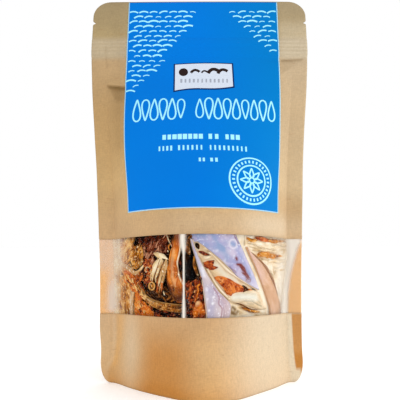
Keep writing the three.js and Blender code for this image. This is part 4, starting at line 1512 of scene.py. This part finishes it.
# %% Lay the flanks and the rose strip
UPPER_FLANK = {
    "left": [
        (-5, 80), (-6, 76.6), (-5, 73.8), (-3.2, 74.2), (0, 72.4), (3.5, 69.9), (7, 67.3), (10, 65.2),
        (13, 62.5), (15.6, 60.4), (19, 57.2), (23, 54.6), (28, 52.2), (34, 49.6),
    ],
    "right": [(19.6, 80), (20.9, 76.4), (23, 72.8), (25.1, 69.4), (26.9, 66), (29.5, 62), (31.9, 58.2),
              (34, 54), (35.4, 50.6)],
}
LOWER_FLANK = {
    "left": [(-6, 75.5), (-5, 71.4), (-3.6, 67), (-2, 62), (-0.2, 56), (0.9, 50), (1.8, 44),
             (2.4, 39), (2.6, 34)],
    "right": [(-4.2, 75.2), (-3, 71), (-1.3, 67), (0.6, 63), (3.4, 58), (6.4, 53.6), (9.6, 49.4), (13.6, 46),
              (16.4, 43), (16.4, 39), (15, 34)],
}
ROSE_STRIP = {
    "left": [(25.9, 71.6), (28.4, 67.2), (31.5, 63), (35.4, 56.5), (39.2, 50), (42.4, 44.4), (44.2, 41),
             (44.9, 37.5), (45.1, 34)],
    "right": [(26.5, 71.8), (29.2, 69.2), (32.4, 66.9), (35.4, 65), (39, 62.4), (43, 58.6), (46.8, 54.2),
              (50.8, 49), (53.4, 43.6), (54.2, 38), (54.2, 34)],
}
contents_piece("silvery_flank", [
    skin(**UPPER_FLANK, depth=3, crown=1.6, wrinkle=0.25, grain=11, seed=3, cells=(120, 64), stain=BLUE_SHEEN,
         mark=BLOOD_MARKS, pale=PALE_FLANK),
], SILVER_SKIN)
contents_piece("pink_flank", [
    skin(**LOWER_FLANK, depth=2.7, crown=1.5, wrinkle=0.2, grain=9, seed=8, cells=(110, 44), stain=LILAC_EDGE,
         mark=PINK_VEINS, pale=WHITE_SPOTS),
], PINK_SKIN)
contents_piece("rose_strip", [
    skin(**ROSE_STRIP, depth=2.5, crown=1.2, wrinkle=0.16, grain=9, seed=4, cells=(100, 26),
         stain=[(0.8, 4, [(26, 70), (31, 63), (35, 57)])]),
    strand([(29.6, 69.2, 2.4), (34.4, 65.9, 2.2), (39.6, 62.3, 2), (44.6, 57.2, 1.9),
            (48.8, 51.6, 1.9), (51.6, 46, 2.1)], 1.5, 1.2, wrinkle=0.2, seed=41, cells=(50, 10),
           mark=[(0.75, 30, [(30, 66), (50, 44)])]),
], ROSE_SKIN)

# %% [markdown]
# ### Torn cream skins
# The torn skins round the flanks dried pale, thin and wrinkled. Brown creases, which are painted shade, and
# amber slots show where they fold, and a rolled edge runs beside the upper flank.

# %% Lay the cream skins
# Painted shade: brown lines along the creases of the torn cream skins.
RIGHT_CREASE_SHADE = [
    (0.6, 0.35, [(27.4, 73.6), (31, 73.3), (35, 72.2), (38, 71.4)]),
    (0.5, 0.3, [(29, 72), (33, 71.4), (37, 70.4), (41, 70.2)]),
    (0.55, 0.35, [(38, 72.8), (42, 71.8), (46, 71.6)]), (0.45, 0.3, [(40, 71), (44, 69.9), (48, 70.2)]),
    (0.45, 0.4, [(47, 73.4), (51, 74.2), (55.6, 73.4)]), (0.4, 0.5, [(47.6, 71.4), (52, 70.8), (55.4, 71.6)]),
    (0.45, 0.3, [(43, 64.8), (48, 65), (52, 64), (56, 64.8)]),
    (0.4, 0.3, [(49, 66.4), (53, 65.8), (56, 66.4)]), (0.5, 0.3, [(47, 62), (51, 61.4), (56.6, 63)]),
    (0.4, 0.3, [(49, 60), (53, 59.6), (56, 60.6)]), (0.65, 0.35, [(44.6, 59), (47.4, 57.4), (49, 56.4)]),
    (0.3, 0.3, [(50, 53.6), (53, 52.8), (56, 54)]), (0.3, 0.3, [(52, 48), (54, 45.6), (55.6, 42)]),
    (0.4, 0.35, [(24, 77), (25.4, 73.6), (25, 71.6)]), (0.45, 0.3, [(31, 70.2), (34.4, 69.6), (38, 70)]),
    (0.6, 0.3, [(34.6, 66.6), (40, 65.6), (46, 65.8), (52, 67)]),
    (0.85, 0.35, [(26.6, 78), (34, 78), (41, 76.9), (48, 76.5), (58, 76)]),
    (0.5, 0.3, [(30, 75.9), (36, 75.3), (41, 74.6)]),
]
AMBER_SLOTS = [
    (0.8, 0.9, [(33, 77), (38.6, 76.5), (43.6, 76)]), (0.85, 0.8, [(43.6, 76.2), (49, 76.2), (55, 76.4)]),
    (0.7, 0.7, [(27.4, 76.2), (30.2, 75.2), (33.7, 75.6)]),
    (0.5, 0.45, [(26.8, 77.2), (27, 75.6), (27.4, 74.6)]), (0.6, 0.6, [(37, 76.6), (40, 76), (43, 75.6)]),
    (0.95, 1.5, [(36, 68.1), (40, 68.2), (52, 67.8)]),
]
PALE_RIGHT = [(0.7, 3.5, [(54, 62), (54, 52), (54, 40)]), (0.4, 2, [(40, 63.5), (46, 61)])]
# Painted shade: grey olive lines in the folds of the membrane.
MEMBRANE_FOLD_SHADE = [
    (0.65, 0.3, [(21.6, 45.6), (24.6, 46), (28, 45.6), (31, 44.4)]),
    (0.7, 0.35, [(25, 44.6), (29.6, 44.2), (33.6, 42.8), (37.4, 41.4)]),
    (0.5, 0.3, [(29, 46.4), (33, 45.4), (36.6, 43)]), (0.45, 0.45, [(27, 43.2), (31, 42.6)]),
    (0.4, 0.3, [(20, 47.6), (27, 48), (33, 47.6)]),
]
contents_piece("torn_cream_skins", [
    skin([(16.6, 80), (19.6, 72), (24, 65.2), (29, 58), (33, 51), (36.8, 45.6), (40, 40), (41, 34)],
         [(29.5, 80), (28.4, 71.5), (31.4, 65), (36, 58), (41, 51), (45, 44), (47, 39.6), (47.4, 34)],
         3.4, 0.4, 0.2, 5, 6, (70, 14), 0.8, tone=0.3),
    skin([(13, 45.6), (19, 45), (25, 43.6), (30, 42.2), (35, 41.4), (40, 41), (46, 40.6)],
         [(14, 34), (22, 34), (28, 34), (34, 34), (40, 34), (46, 34)],
         3.6, 0.5, 0.3, 4, 9, (50, 20), 0.9, stain=[(0.7, 0.5, [(25, 40.2), (30, 38.6), (34, 38.2)])],
         mark=[(0.95, 0.8, [(16.2, 40.6), (17.6, 41.6), (19.2, 40.6)]),
               (0.9, 0.7, [(17, 38.6), (19.6, 38), (21, 39.4)]), (0.6, 1.2, [(16.8, 39.6), (18.6, 39.2)])]),
    skin([(26, 80), (34, 80), (44, 80), (58, 80)], [(25, 71), (34, 71), (44, 70), (58, 69)],
         3.6, 0.9, 0.35, 3.2, 10, (90, 40), 0.9, stain=AMBER_SLOTS, mark=RIGHT_CREASE_SHADE),
    skin([(27, 72), (36, 72), (46, 72), (58, 72)], [(31, 62), (38, 61), (47, 60), (58, 59)],
         3.9, 1, 0.35, 3.2, 11, (90, 40), 0.9, stain=AMBER_SLOTS, mark=RIGHT_CREASE_SHADE, pale=PALE_RIGHT),
    skin([(34, 64), (42, 58), (48, 50), (51, 42), (51, 34)],
         [(58, 64), (58, 58), (58, 50), (58, 42), (58, 34)], 3.6, 1.2, 0.35, 3.6, 12, (80, 40), 0.9,
         mark=RIGHT_CREASE_SHADE, pale=PALE_RIGHT),
    strand([(29, 74.4, 3), (34, 74, 2.8), (40, 72.7, 2.8), (46, 72.4, 2.8), (54, 73.4, 3)], 1.7, 0.9,
           wrinkle=0.3, seed=42, tone=0.05),
    strand([(33, 71.2, 3), (40, 70.5, 2.8), (48, 70.4, 2.8), (56, 71.4, 3)], 1.5, 0.9, wrinkle=0.3,
           seed=43, tone=-0.1),
    strand([(43, 64.4, 3.2), (49, 65.4, 3), (56, 64.2, 3.2)], 1.7, 0.9, wrinkle=0.3, seed=44, tone=0.1),
    strand([(46.6, 61.2, 3.2), (51, 60, 3), (57, 61, 3.2)], 1.5, 0.9, wrinkle=0.3, seed=45),
    strand([(49.6, 57.4, 3), (52.6, 52.6, 2.8), (54.6, 46, 3)], 1.9, 0.9, wrinkle=0.3, seed=46, tone=0.15),
    strand([(-10.8, 79, 2.2), (-11.4, 70, 2), (-12.8, 63.5, 1.7), (-12, 57.5, 1.8), (-10.2, 53, 2.2),
            (-9.6, 49, 2.6)], 0.85, 0.9, even),
    strand([(-19.6, 78, 3), (-18, 74.6, 2.6), (-15.8, 71.4, 2.4)], 0.6, 0.6, even),
    strand([(1, 69.9, 3), (2.2, 70.6, 2.7), (3.4, 69.8, 3)], 1.2, 1, seed=15),
    strand([(0.6, 66.2, 3), (3.4, 66, 2.6), (6.2, 66.8, 3)], 1.5, 1, seed=16),
], CREAM_SKIN)

# %% Lay the membrane
contents_piece("cream_membrane", [
    skin([(-6, 73), (-3.8, 68.6), (-1.4, 63), (1.6, 57.2), (5.4, 51.6), (9.4, 47.4), (13.6, 43.6)],
         [(-2, 76), (5.6, 71.4), (12, 66.6), (17, 62), (23, 58.6), (30, 55), (35, 51.6)],
         3.7, 0.4, 0.25, 4, 5, (80, 36), 0.8, pale=[(0.6, 1.6, [(9, 62), (13, 58), (20, 54.6)])]),
    skin([(14.4, 47.6), (18, 48.9), (25, 49.4), (31, 50), (35.6, 48.6), (38.8, 45), (41.6, 40.4)],
         [(14.8, 44.6), (19, 43.6), (24, 42.6), (29, 41.2), (34, 40), (38, 39.4), (41.6, 39.6)],
         3.2, 1.1, 0.3, 3.4, 7, (80, 34), 0.9, mark=MEMBRANE_FOLD_SHADE,
         pale=[(0.9, 2, [(18, 46.4), (24, 46.6), (33, 46)])]),
    skin([(3.6, 68.2), (7, 65.8), (10.2, 62.6), (14, 59.2), (18, 56.9), (23, 54.3), (29, 51.8)],
         [(4.4, 69.2), (8, 66.6), (11.4, 63.6), (15, 60.6), (19, 57.6), (24, 54.9), (29.4, 52.2)],
         3, 0.9, 0.1, 4, 17, (60, 12), 0.8, tone=0.3),
    skin([(2.6, 60.2), (5.4, 55.6), (8, 51.8), (11, 48.6), (15, 45.2)],
         [(3.8, 60.6), (6.8, 56), (9.4, 52.4), (12.4, 49.2), (16.2, 46)], 2.9, 0.8, 0.1, 4, 18, (60, 12),
         0.8, tone=0.3),
], CREAM_WEB)

# %% [markdown]
# ### Flesh in the gaps and on the left
# The dark core fills the space behind everything, and where it shows through gaps it is painted near black
# as painted shade. Amber bodies, red lumps, an olive rim and fibrous brown meat lie on it in the order in
# which they cross: what is in front has the smaller depth.

# %% Lay the dark core
# Painted shade: the gaps where the core shows deep behind the pieces are painted near black.
PIT_SHADE = [(1, 3.4, [(-5.4, 73), (-5.6, 64), (-5.4, 55)]), (0.8, 2.4, [(-19, 53), (-15, 46), (-11, 44)])]
CORE_DEPTH, CORE_THICK, CORE_HALF, CORE_PAST = 6, 1.2, 57, 6
core_heights = np.linspace(WINDOW_BOTTOM - CORE_PAST, WINDOW_TOP + CORE_PAST, 60)
core_length, core_height = np.meshgrid(np.linspace(-CORE_HALF, CORE_HALF, 120), core_heights)
core_depth = CORE_DEPTH + 0.5 * soft_noise(core_length, core_height, 4, 21)
core_depth += 1.6 * near_line(core_length, core_height, [(-5, 71), (-5.4, 64), (-5.2, 57)], 3.2)
core_points, core_faces = slab(*(
    inside(core_length, core_height, depth) for depth in (core_depth, core_depth + CORE_THICK)
))
core_run = np.stack([np.tile(core_length.ravel(), 2), np.tile(core_height.ravel(), 2)], -1)
core = shape(core_points, core_faces, core_run, np.full(len(core_points), 9), *core_run.T, stain=PIT_SHADE)
HEAD_AREA = [(-37, 56), (-34, 48), (-28, 45.6), (-18, 44.6), (-11, 44.6), (-12, 48), (-18, 55),
             (-26, 50), (-33, 57)]
contents_piece("dark_meat", [
    core,
    skin([(-36, 51), (-30, 50.6), (-22, 50), (-12, 50)], [(-34, 44), (-28, 44), (-20, 43), (-9, 43)],
         4.2, 1, 0.6, 3, 22, (50, 20)),
    skin([(-21, 79), (-20.5, 72), (-20, 64)], [(-15, 79), (-16, 72), (-18, 64)],
         4.4, 0.8, 0.5, 3, 23, (40, 14), stain=PIT_SHADE),
    skin([(-9, 80), (-8.6, 76), (-7.6, 72.5)], [(-4.6, 80), (-4.8, 76), (-5.2, 72.5)],
         3.6, 0.8, 0.5, 2, 24, (24, 12)),
    strand([(-17, 46.4, 4.4), (-24, 48, 3.8), (-31, 50.6, 3.8), (-37, 55.4, 4.8)], 9, 3.6, wrinkle=0.12,
           seed=25, cells=(44, 20)),
    # A dark strip along the top of the window: painted shadow of the paper above.
    skin([(-46, 79.6), (-36, 79.8), (-20, 80)], [(-47, 76.8), (-36, 77.2), (-20, 77.8)],
         3.8, 0.7, 0.4, 3, 26, (50, 10)),
    strand([(23.6, 52, 3), (24.8, 50.4, 2.7), (24.2, 48.6, 3)], 2.9, 1.4),
    strand([(24, 51.2, 3), (26, 50.6, 2.8), (28.2, 50.2, 3)], 2.1, 1.2),
    strand([(-3.1, 73, 3.5), (-2, 71.8, 3.1), (-1.2, 70, 3.5)], 2.3, 1.4),
    strand([(19.2, 43.5, 2.9), (23, 42.7, 2.6), (27, 41, 2.5), (31, 39.9, 2.5), (35.6, 39.6, 2.8)],
           0.6, 0.7, tone=0.3),
    strand([(-22.6, 65.6, 1), (-24.4, 61, 0.85), (-27, 55, 1)], 0.45, 0.5, tone=0.7),
    strand([(-20.4, 64.6, 1.1), (-22.2, 60, 0.95), (-25, 54, 1.1)], 0.45, 0.5, tone=0.7),
    strand([(-18.2, 55.4, 3), (-19, 52.4, 2.8), (-17.6, 49.6, 3)], 2.6, 1.6, tone=-0.5),
    strand([(-29.6, 39.6, 3.4), (-22, 38.6, 3.2), (-12, 38.8, 3.4)], 2.6, 1.8, even, wrinkle=0.2, tone=-0.3),
], DARK_FLESH, [
    (HEAD_AREA, 84, -25, 35, (3.6, 0.9), (2.3, 3.4), (-0.1, 0.8), 261),
    ([(-8.6, 79), (-4.8, 79), (-5.4, 72), (-8.4, 71)], 18, 70, 30, (3, 0.9), (2.2, 3), (0.1, 0.7), 262),
    ([(-40, 73), (-33, 76), (-33.6, 62), (-37, 60), (-38.6, 66)], 26, 75, 22, (4.4, 0.9), (2.6, 3.8),
     (-0.3, 0.3), 263),
])

# %% Lay the amber bodies
BODY_SHADE = [
    (0.8, 1.5, [(-15.4, 79), (-17.6, 66), (-19.8, 57), (-17.6, 49)]),
    (1, 3.2, [(-18, 47), (-13, 46), (-9, 46.6)]), (0.45, 2, [(-17, 51), (-10, 50.6)]),
    (0.4, 0.5, [(-15, 66), (-16, 58), (-14.4, 50)]), (0.7, 2.4, [(-14, 80), (-13, 76)]),
]
BODY_LIGHT = [(0.35, 1, [(-14.6, 70), (-15.6, 60), (-14, 53)]), (0.25, 1.2, [(-13.6, 58), (-13, 54)])]
BIG_LUMP_LIGHT = [(0.9, 1.1, [(17, 49.6), (18, 49.2)]), (0.5, 0.6, [(9.6, 55.6), (11, 54.4)]),
                  (0.5, 0.5, [(14, 53.4), (15, 52.4)])]
LOW_LEFT = [(-42, 47), (-36, 44.4), (-30, 41.4), (-28, 37), (-42, 37)]
ORANGE_BAND = [(-52, 58), (-47, 60), (-40, 57.4), (-36.4, 51), (-35.6, 46.4), (-40, 46), (-43, 48),
               (-47, 50), (-52, 52)]
contents_piece("amber_bodies", [
    skin([(-14.8, 80), (-15.8, 73), (-17, 68), (-18.6, 63),
          (-19.8, 57.5), (-19.2, 52), (-17, 48), (-13.5, 44)],
         [(-10.4, 80), (-11, 72), (-12, 66.5), (-12.8, 62), (-11.4, 57), (-9.2, 53), (-8.4, 49), (-9.2, 44)],
         3, 2.1, 0.25, 4, 31, (100, 34), 1.6, stain=BODY_SHADE, pale=BODY_LIGHT),
    skin([(-54, 60), (-51, 54), (-46, 49.4), (-42, 43)], [(-46, 61), (-41, 57.4), (-37, 51), (-35.6, 45.4)],
         3.2, 1, 0.4, 3.4, 32, (60, 24), tone=-0.15),
    skin([(-43, 48), (-39, 45), (-34, 42.2), (-29, 40.8)], [(-43, 34), (-38, 34), (-33, 34), (-28, 34)],
         3.3, 1, 0.5, 2.6, 33, (50, 26)),
    skin([(18, 53.6), (22, 52.4), (26, 51.2), (30.8, 50)], [(18, 48.4), (22, 48.7), (26, 48.7), (30.8, 49.4)],
         3.7, 0.9, 0.3, 3, 35, (34, 14), stain=[(0.6, 1, [(25, 50.4), (27.4, 50)])]),
    blob(-1.4, 43, 2.4, 4.2, 36, pale=[(0.8, 1, [(-2.4, 43.8), (-1.6, 44.2)])]),
    blob(0.4, 39.4, 2.5, 3.6, 37), blob(-3.4, 39, 2.8, 3.2, 38, tone=-0.2),
], AMBER_FLESH, [
    ([(-18.6, 60), (-13.4, 62), (-10, 52), (-16, 47)], 16, 88, 8, (7, 0.6), (1, 1.25), (-0.2, 0.35), 311),
    ([(-16.6, 76), (-12, 76), (-13, 62), (-18, 62)], 14, 80, 8, (7, 0.6), (1.35, 1.6), (-0.3, 0.3), 312),
    (ORANGE_BAND, 60, -48, 22, (4.6, 1), (2, 3), (-0.6, 0.16), 313),
    ([(-46, 55), (-41.6, 59), (-35.6, 60.6), (-35.4, 56), (-41, 52)], 30, 48, 14, (4.4, 0.9), (1.8, 2.5),
     (-0.55, 0.1), 316),
    (LOW_LEFT, 46, -40, 30, (3.4, 1), (2.2, 3.2), (-0.5, 0.3), 314),
    ([(-2, 54), (0.4, 54), (1.6, 46), (-2.6, 46)], 9, 80, 30, (2.4, 1), (1.9, 2.6), (-0.35, 0.1), 315),
])

# %% Lay the red meat
contents_piece("red_meat", [
    skin([(7.2, 56.2), (10, 57), (15, 56), (19.4, 53.9), (24, 52)],
         [(8, 54.8), (12, 51), (15.5, 46.8), (19.6, 48.2), (24, 48.5)], 3.6, 1.6, 0.3, 3, 34, (50, 26), 1.2,
         tone=0.2, mark=BIG_LUMP_LIGHT),
    skin([(-36.4, 66), (-35.8, 60), (-35, 53)], [(-28, 66), (-27.6, 60), (-29, 54)],
         3.4, 1, 0.6, 2.2, 55, (40, 20), tone=-0.05),
    strand([(33, 77, 2.7), (38.6, 76.3, 2.5), (44.6, 75.8, 2.7)], 2.5, 0.7, wrinkle=0.2, seed=56, tone=0.1),
    strand([(-20.6, 58, 1.7), (-21.8, 53.6, 1.4), (-22.4, 49, 1.8)], 1.4, 1, wrinkle=0.2, seed=58, tone=0.02),
    skin([(-9, 52), (-9, 48), (-8.8, 42), (-8.8, 34)],
         [(0.2, 57), (1, 50), (2, 44), (2.6, 34)], 3.8, 0.9, 0.9, 2.2, 51, (70, 34), 1.2,
         stain=[(0.9, 1.5, [(-8, 54), (-7.6, 44), (-7, 36)]), (0.7, 0.7, [(-4.4, 52), (-4, 46), (-5, 41)]),
                (0.8, 1.2, [(-6, 40), (-5.4, 36)])]),
    skin([(-1.6, 69.4), (1, 69.1), (4.6, 67.4)], [(-1.2, 68.2), (1.6, 66.7), (4.2, 66.9)],
         3.5, 0.8, 0.3, 2, 52, (24, 10), tone=-0.4),
    skin([(1, 63.6), (4, 64.4), (7.4, 64.8)], [(1.8, 61.4), (4, 60.2), (6.4, 61.4)],
         3.5, 1, 0.4, 2, 53, (30, 14), tone=-0.22),
    skin([(3.4, 62.4), (6, 62), (9.2, 61.2)], [(3, 60.4), (6, 59.6), (8.8, 60.6)],
         3.4, 0.8, 0.4, 2, 54, (30, 12), tone=-0.14),
    blob(10.4, 55.2, 2.6, 2.4, 61, tone=0), blob(13.6, 53.6, 2.5, 3, 62, tone=0.16),
    blob(12.2, 52.6, 2.7, 2.2, 66, tone=0.05),
    blob(15, 50.6, 2.5, 3.2, 63, tone=0.05), blob(17.6, 50, 2.4, 3.2, 64, tone=0.3),
    blob(16, 48.2, 2.6, 2.4, 65, tone=0.2),
    blob(20, 50.6, 2.7, 2.8, 67, tone=0.3),
], RED_FLESH, [
    ([(-8.4, 55), (-5.6, 52.4), (-3, 56), (0, 56), (0.6, 47), (-8.4, 46)], 50, 78, 26, (2.6, 1.1), (2, 3),
     (-0.5, 0.12), 511),
    ([(-8.4, 47), (-2.6, 47), (-4, 41), (-5, 36.6), (-8.4, 36.6)], 26, 85, 30, (2.4, 1), (2.2, 3),
     (-0.7, -0.1), 512),
    ([(-2.4, 41), (1.6, 41), (2, 36.6), (-4.6, 36.6)], 10, 60, 40, (2.4, 1.2), (2, 2.6), (-0.1, 0.4), 513),
    ([(-35, 64.6), (-29.4, 64), (-28.6, 60), (-30.6, 55), (-34.6, 54.6)], 44, 65, 45, (2.2, 1.1), (1.7, 2.4),
     (-0.3, 0.6), 514),
    ([(-28, 40), (-12, 39.4), (-10, 36.6), (-26, 36.6)], 30, 10, 30, (3, 1), (2, 2.8), (-0.6, -0.2), 517),
    ([(-36, 56), (-33, 56), (-32, 51.6), (-35.4, 52)], 8, 75, 30, (2.6, 1.1), (2.2, 3), (-0.3, 0.2), 515),
    ([(-25.6, 57), (-22.4, 57), (-22.6, 49.6), (-25.4, 50)], 10, 82, 9, (5, 0.9), (1.9, 2.6),
     (-0.1, 0.5), 516),
])

# %% Lay the umber fibres
UMBER_AREA = [(-36.6, 77.6), (-28, 78.6), (-19.4, 78.8), (-19.6, 70), (-22.6, 68.4), (-27.6, 70), (-30, 64.8),
              (-34.4, 64.6), (-36, 70)]
CLUMP = [(-45.8, 72.2), (-40, 72.6), (-36.2, 71), (-35.8, 67.5), (-36.8, 64.4), (-40.4, 62.4), (-44.4, 62.4),
         (-48, 65.6), (-48.4, 69)]
LEFT_STRIPS = [(-54.6, 51), (-46.2, 51), (-45.6, 44), (-46, 38.6), (-54.6, 38.6)]
contents_piece("umber_fibres", [
    skin([(-40, 77.6), (-34, 78.6), (-28, 79.2), (-18.6, 79.4)],
         [(-36, 62), (-33, 63.6), (-28, 67.6), (-19.4, 68)], 4.3, 1.1, 0.7, 3, 71, (70, 40), 1.2),
    strand([(-12.2, 64.6, 3.2), (-11.6, 62, 3), (-12, 59, 3.2)], 1.6, 1.2, tone=-0.3),
], UMBER_FIBRES, [
    (UMBER_AREA, 70, 62, 30, (5, 0.75), (2.2, 3.6), (-0.35, 0.45), 711),
    # Darker fibres along the top of the window: painted shadow of the paper above.
    ([(-36, 79), (-19, 79.4), (-19.6, 76.6), (-36, 75.8)], 26, 20, 30, (4, 0.8), (2.6, 3.4),
     (-0.5, 0.1), 712),
    ([(-33.4, 68), (-29, 69.4), (-28.4, 64.4), (-32.4, 63.4)], 14, 70, 25, (4.4, 0.9), (2, 2.8),
     (0.1, 0.6), 713),
    ([(-28.4, 75), (-22, 76), (-21, 70.6), (-27.4, 70.8)], 16, 60, 35, (3.6, 0.7), (2, 2.6), (0, 0.5), 714),
])

# %% Lay the golden skins and the rim
contents_piece("golden_skins", [
    skin([(-46, 73), (-49.2, 69.4), (-49.4, 66), (-46, 62.4), (-42, 60.6)],
         [(-39.6, 73), (-36, 70.4), (-35.6, 66.6), (-37, 63.4), (-40, 61.4)],
         3.4, 1.1, 0.9, 2.6, 81, (60, 30), 1.2, tone=-0.06,
         stain=[(1, 1.3, [(-48.4, 66.8), (-45, 65), (-43.2, 62.4)]), (0.7, 0.8, [(-38.4, 64.4), (-37, 67)])]),
    # Its stain along the top is a painted shadow of the paper above the window.
    skin([(-59, 80), (-50, 80), (-41, 80)], [(-59, 60), (-52, 62), (-45, 72)], 3, 0.6, 0.4, 4, 82, (60, 26),
         0.9, tone=0.22, stain=[(0.45, 1.6, [(-50, 78.6), (-44, 78), (-38, 78.4)])]),
    skin([(-59, 64), (-59, 52), (-59, 34)], [(-47, 64), (-44, 52), (-44, 34)], 2.7, 0.4, 0.3, 4, 89, (60, 26),
         0.9, tone=0.12),
    skin([(-4.3, 66.6), (-4.6, 62), (-3, 57.6)], [(-3.5, 66.8), (-2.9, 62), (-1.2, 56.6)],
         3.8, 0.6, 0.3, 2, 86, (24, 8), tone=-0.12),
    strand([(-9.4, 72, 3), (-7.6, 69.8, 2.7), (-6, 67.4, 3)], 3.2, 1.8, wrinkle=0.2, seed=87, tone=-0.15),
    strand([(42.6, 76, 2.7), (49, 75.9, 2.5), (56.4, 76.6, 2.7)], 2.1, 0.7, wrinkle=0.2, seed=94),
    strand([(26.8, 76.6, 2.8), (30, 75.3, 2.6), (35, 75.8, 2.8)], 1.9, 0.7, wrinkle=0.2, seed=95),
    strand([(33.4, 67.4, 3), (40, 68.6, 2.7), (47, 67.6, 2.7), (55, 68.2, 3)], 3.3, 0.8, wrinkle=0.25,
           seed=96, tone=0),
    strand([(23.6, 41.3, 2.9), (30, 39.3, 2.6), (37, 38.4, 2.8)], 1.5, 0.9, tone=-0.1),
], GOLD_SKIN, [
    (CLUMP, 52, 60, 16, (5.4, 1.3), (1.9, 2.5), (-0.26, 0.06), 811),
    (LEFT_STRIPS, 70, -80, 9, (6, 0.8), (1.6, 2.3), (-0.1, 0.2), 812),
    ([(-56, 62), (-50, 60), (-50, 51), (-56, 50)], 30, -70, 16, (4.4, 0.8), (1.8, 2.5), (-0.2, 0.3), 813),
    ([(-57, 78), (-48, 77.6), (-50, 69), (-57, 64)], 16, 62, 20, (5, 1.2), (2.3, 2.8), (0.1, 0.4), 814),
    ([(-47, 57), (-43, 56), (-40, 50), (-45, 50.6)], 12, -50, 20, (3.6, 0.9), (1.5, 2.2), (0.2, 0.7), 815),
    ([(-42, 46), (-36, 44), (-34, 38), (-42, 38)], 12, -40, 40, (2, 0.8), (1.6, 2.2), (0.1, 0.8), 816),
    ([(-36.6, 49), (-32.4, 47.4), (-33, 44.4), (-36.6, 46)], 8, -30, 20, (3, 0.8), (0.9, 1.3),
     (0.3, 0.8), 817),
    ([(-31.6, 60), (-29.4, 60), (-29.2, 54.8), (-32, 55)], 9, 80, 25, (2.6, 0.9), (1.9, 2.6),
     (-0.3, 0.4), 818),
])
# The mark along the upper edge of the rolled rim is a painted highlight.
contents_piece("olive_rim", [
    skin([(-40.4, 53.4), (-37, 50.4), (-32.8, 46.8), (-27.5, 44.8), (-21, 43.8), (-14.6, 43.3), (-10, 43)],
         [(-39.8, 50.8), (-36, 46.8), (-32.3, 43), (-26.5, 40.5),
          (-19.5, 39.5), (-13.6, 39), (-10, 39.4)], 2.9, 1.6, 0.3, 2, 91, (100, 24),
         1.4, mark=[(0.75, 0.7, [(-38, 48.6), (-35, 46.8), (-32, 45.2), (-28, 44)])],
         stain=[(0.7, 1.4, [(-13, 42), (-9, 42)])]),
], OLIVE_SKIN, [
    ([(-35, 46), (-28, 44), (-16, 43), (-13, 41.6), (-22, 41), (-29, 42)], 40, 55, 20, (1.9, 0.5), (0.8, 1.2),
     (-0.3, 0.6), 911),
])

# %% [markdown]
# ### The pale shards and the eye
# A fan of pale bones and skin splinters stands in the middle of the left half. The fish beside it lies with
# its head down, and its dried eye shows as a pale ring round a golden lens.

# %% Lay the shards and the eye
EYE_PLACE, EYE_RING, EYE_TUBE = (-28.3, 52.1), 1.9, 0.8
SHARDS = [
    ([(-27.2, 68.8), (-24.4, 67.6), (-21.8, 65.6)], 2, 1.3, -0.05),
    ([(-26, 68.9), (-22.4, 67.6), (-18, 65.2)], 2.1, 1.5, 0),
    ([(-21.6, 67), (-24.4, 63.2), (-26.8, 59.6), (-28.6, 54.4)], 2.7, 1.2, 0.06),
    ([(-24.2, 65.6), (-27, 62.2), (-28.6, 58.6)], 2, 1.5, -0.15),
    ([(-19, 66), (-20.4, 61.4), (-22.2, 57.6), (-24.8, 51.6)], 2.3, 1.4, -0.36),
    ([(-21.4, 65.4), (-23.4, 61), (-25.4, 57), (-26.2, 54)], 1.7, 1.3, -0.26),
    ([(-28.4, 60), (-29.2, 57.4), (-29.6, 55)], 1.4, 1.6, -0.15),
    ([(-18.6, 64.6), (-19.2, 61), (-20.6, 57.4)], 1, 1.6, -0.3),
]
shards = [
    strand([(-19.2, 62.4, 1.8), (-20.2, 58, 1.4), (-21.6, 54.4, 1.4), (-23.2, 51.2, 1.5), (-24, 49.2, 2)],
           1.6, 1, wrinkle=0.2, seed=57, tone=-0.55),
    strand([(-44, 49, 2), (-44.8, 43.5, 1.8), (-45.2, 34, 1.8)], 2.5, 1.2, even, wrinkle=0.2,
           seed=14, tone=-0.25),
    strand([(-56, 65.4, 2.6), (-50.6, 62.8, 2.1), (-46, 60.8, 1.9), (-41.2, 58.9, 1.9), (-37.4, 60.6, 2),
            (-34, 63.8, 2.4)], 2.6, 1.4, wrinkle=0.2, seed=83, cells=(46, 14), tone=-0.25),
    skin([(-59, 80), (-59, 60), (-59, 34)], [(-54.4, 80), (-53.4, 60), (-55, 34)],
         2, 0.4, 0.3, 5, 99, (50, 14), 0.6, tone=-0.12),
    strand([(-21.4, 49.4, 2.2), (-21, 48.4, 2), (-20.6, 47.4, 2.2)], 0.7, 0.6, tone=0.4),
    strand([(-18.9, 69.9, 2.6), (-18.6, 69.4, 2.4), (-18.3, 68.9, 2.6)], 0.7, 0.6, tone=0.4),
]
for k, (places, wide, depth, tone) in enumerate(SHARDS):
    path = [(*place, depth + 0.5 * (place in (places[0], places[-1]))) for place in places]
    shards.append(strand(path, wide, 1.1, wrinkle=0.25, seed=201 + k, cells=(22, 10), tone=tone))
FAN = [(-25, 67), (-18.8, 65.6), (-20.2, 60), (-23.4, 54.6), (-28.4, 55.6), (-27, 61)]
contents_piece("pale_shards", shards, TAN_SHARD, [
    (FAN, 16, 64, 8, (4.6, 0.5), (0.9, 1.3), (-0.5, -0.1), 220),
    ([(-34, 63), (-30, 62.6), (-29.4, 57), (-33, 55)], 14, 60, 40, (1.8, 0.8), (1.6, 2.2), (-0.5, -0.1), 221),
])


def eye_ring(radius, tube, depth, **masks):
    """A ring round the middle of the eye."""
    turns = np.linspace(0, 2 * math.pi, 25)
    path = [(EYE_PLACE[0] + radius * math.cos(a), EYE_PLACE[1] + radius * math.sin(a), depth) for a in turns]
    return strand(path, tube, tube, even, cells=(40, 10), **masks)


contents_piece("eye_ring", [eye_ring(EYE_RING, EYE_TUBE, 1.1, tone=0.45),
                            eye_ring(1, 0.5, 1.2, tone=-0.2)], OLIVE_SKIN)
contents_piece("eye_lens", [blob(*EYE_PLACE, 1.9, 2.6, 92, 0.5, tone=-0.1)], GOLD_SKIN)
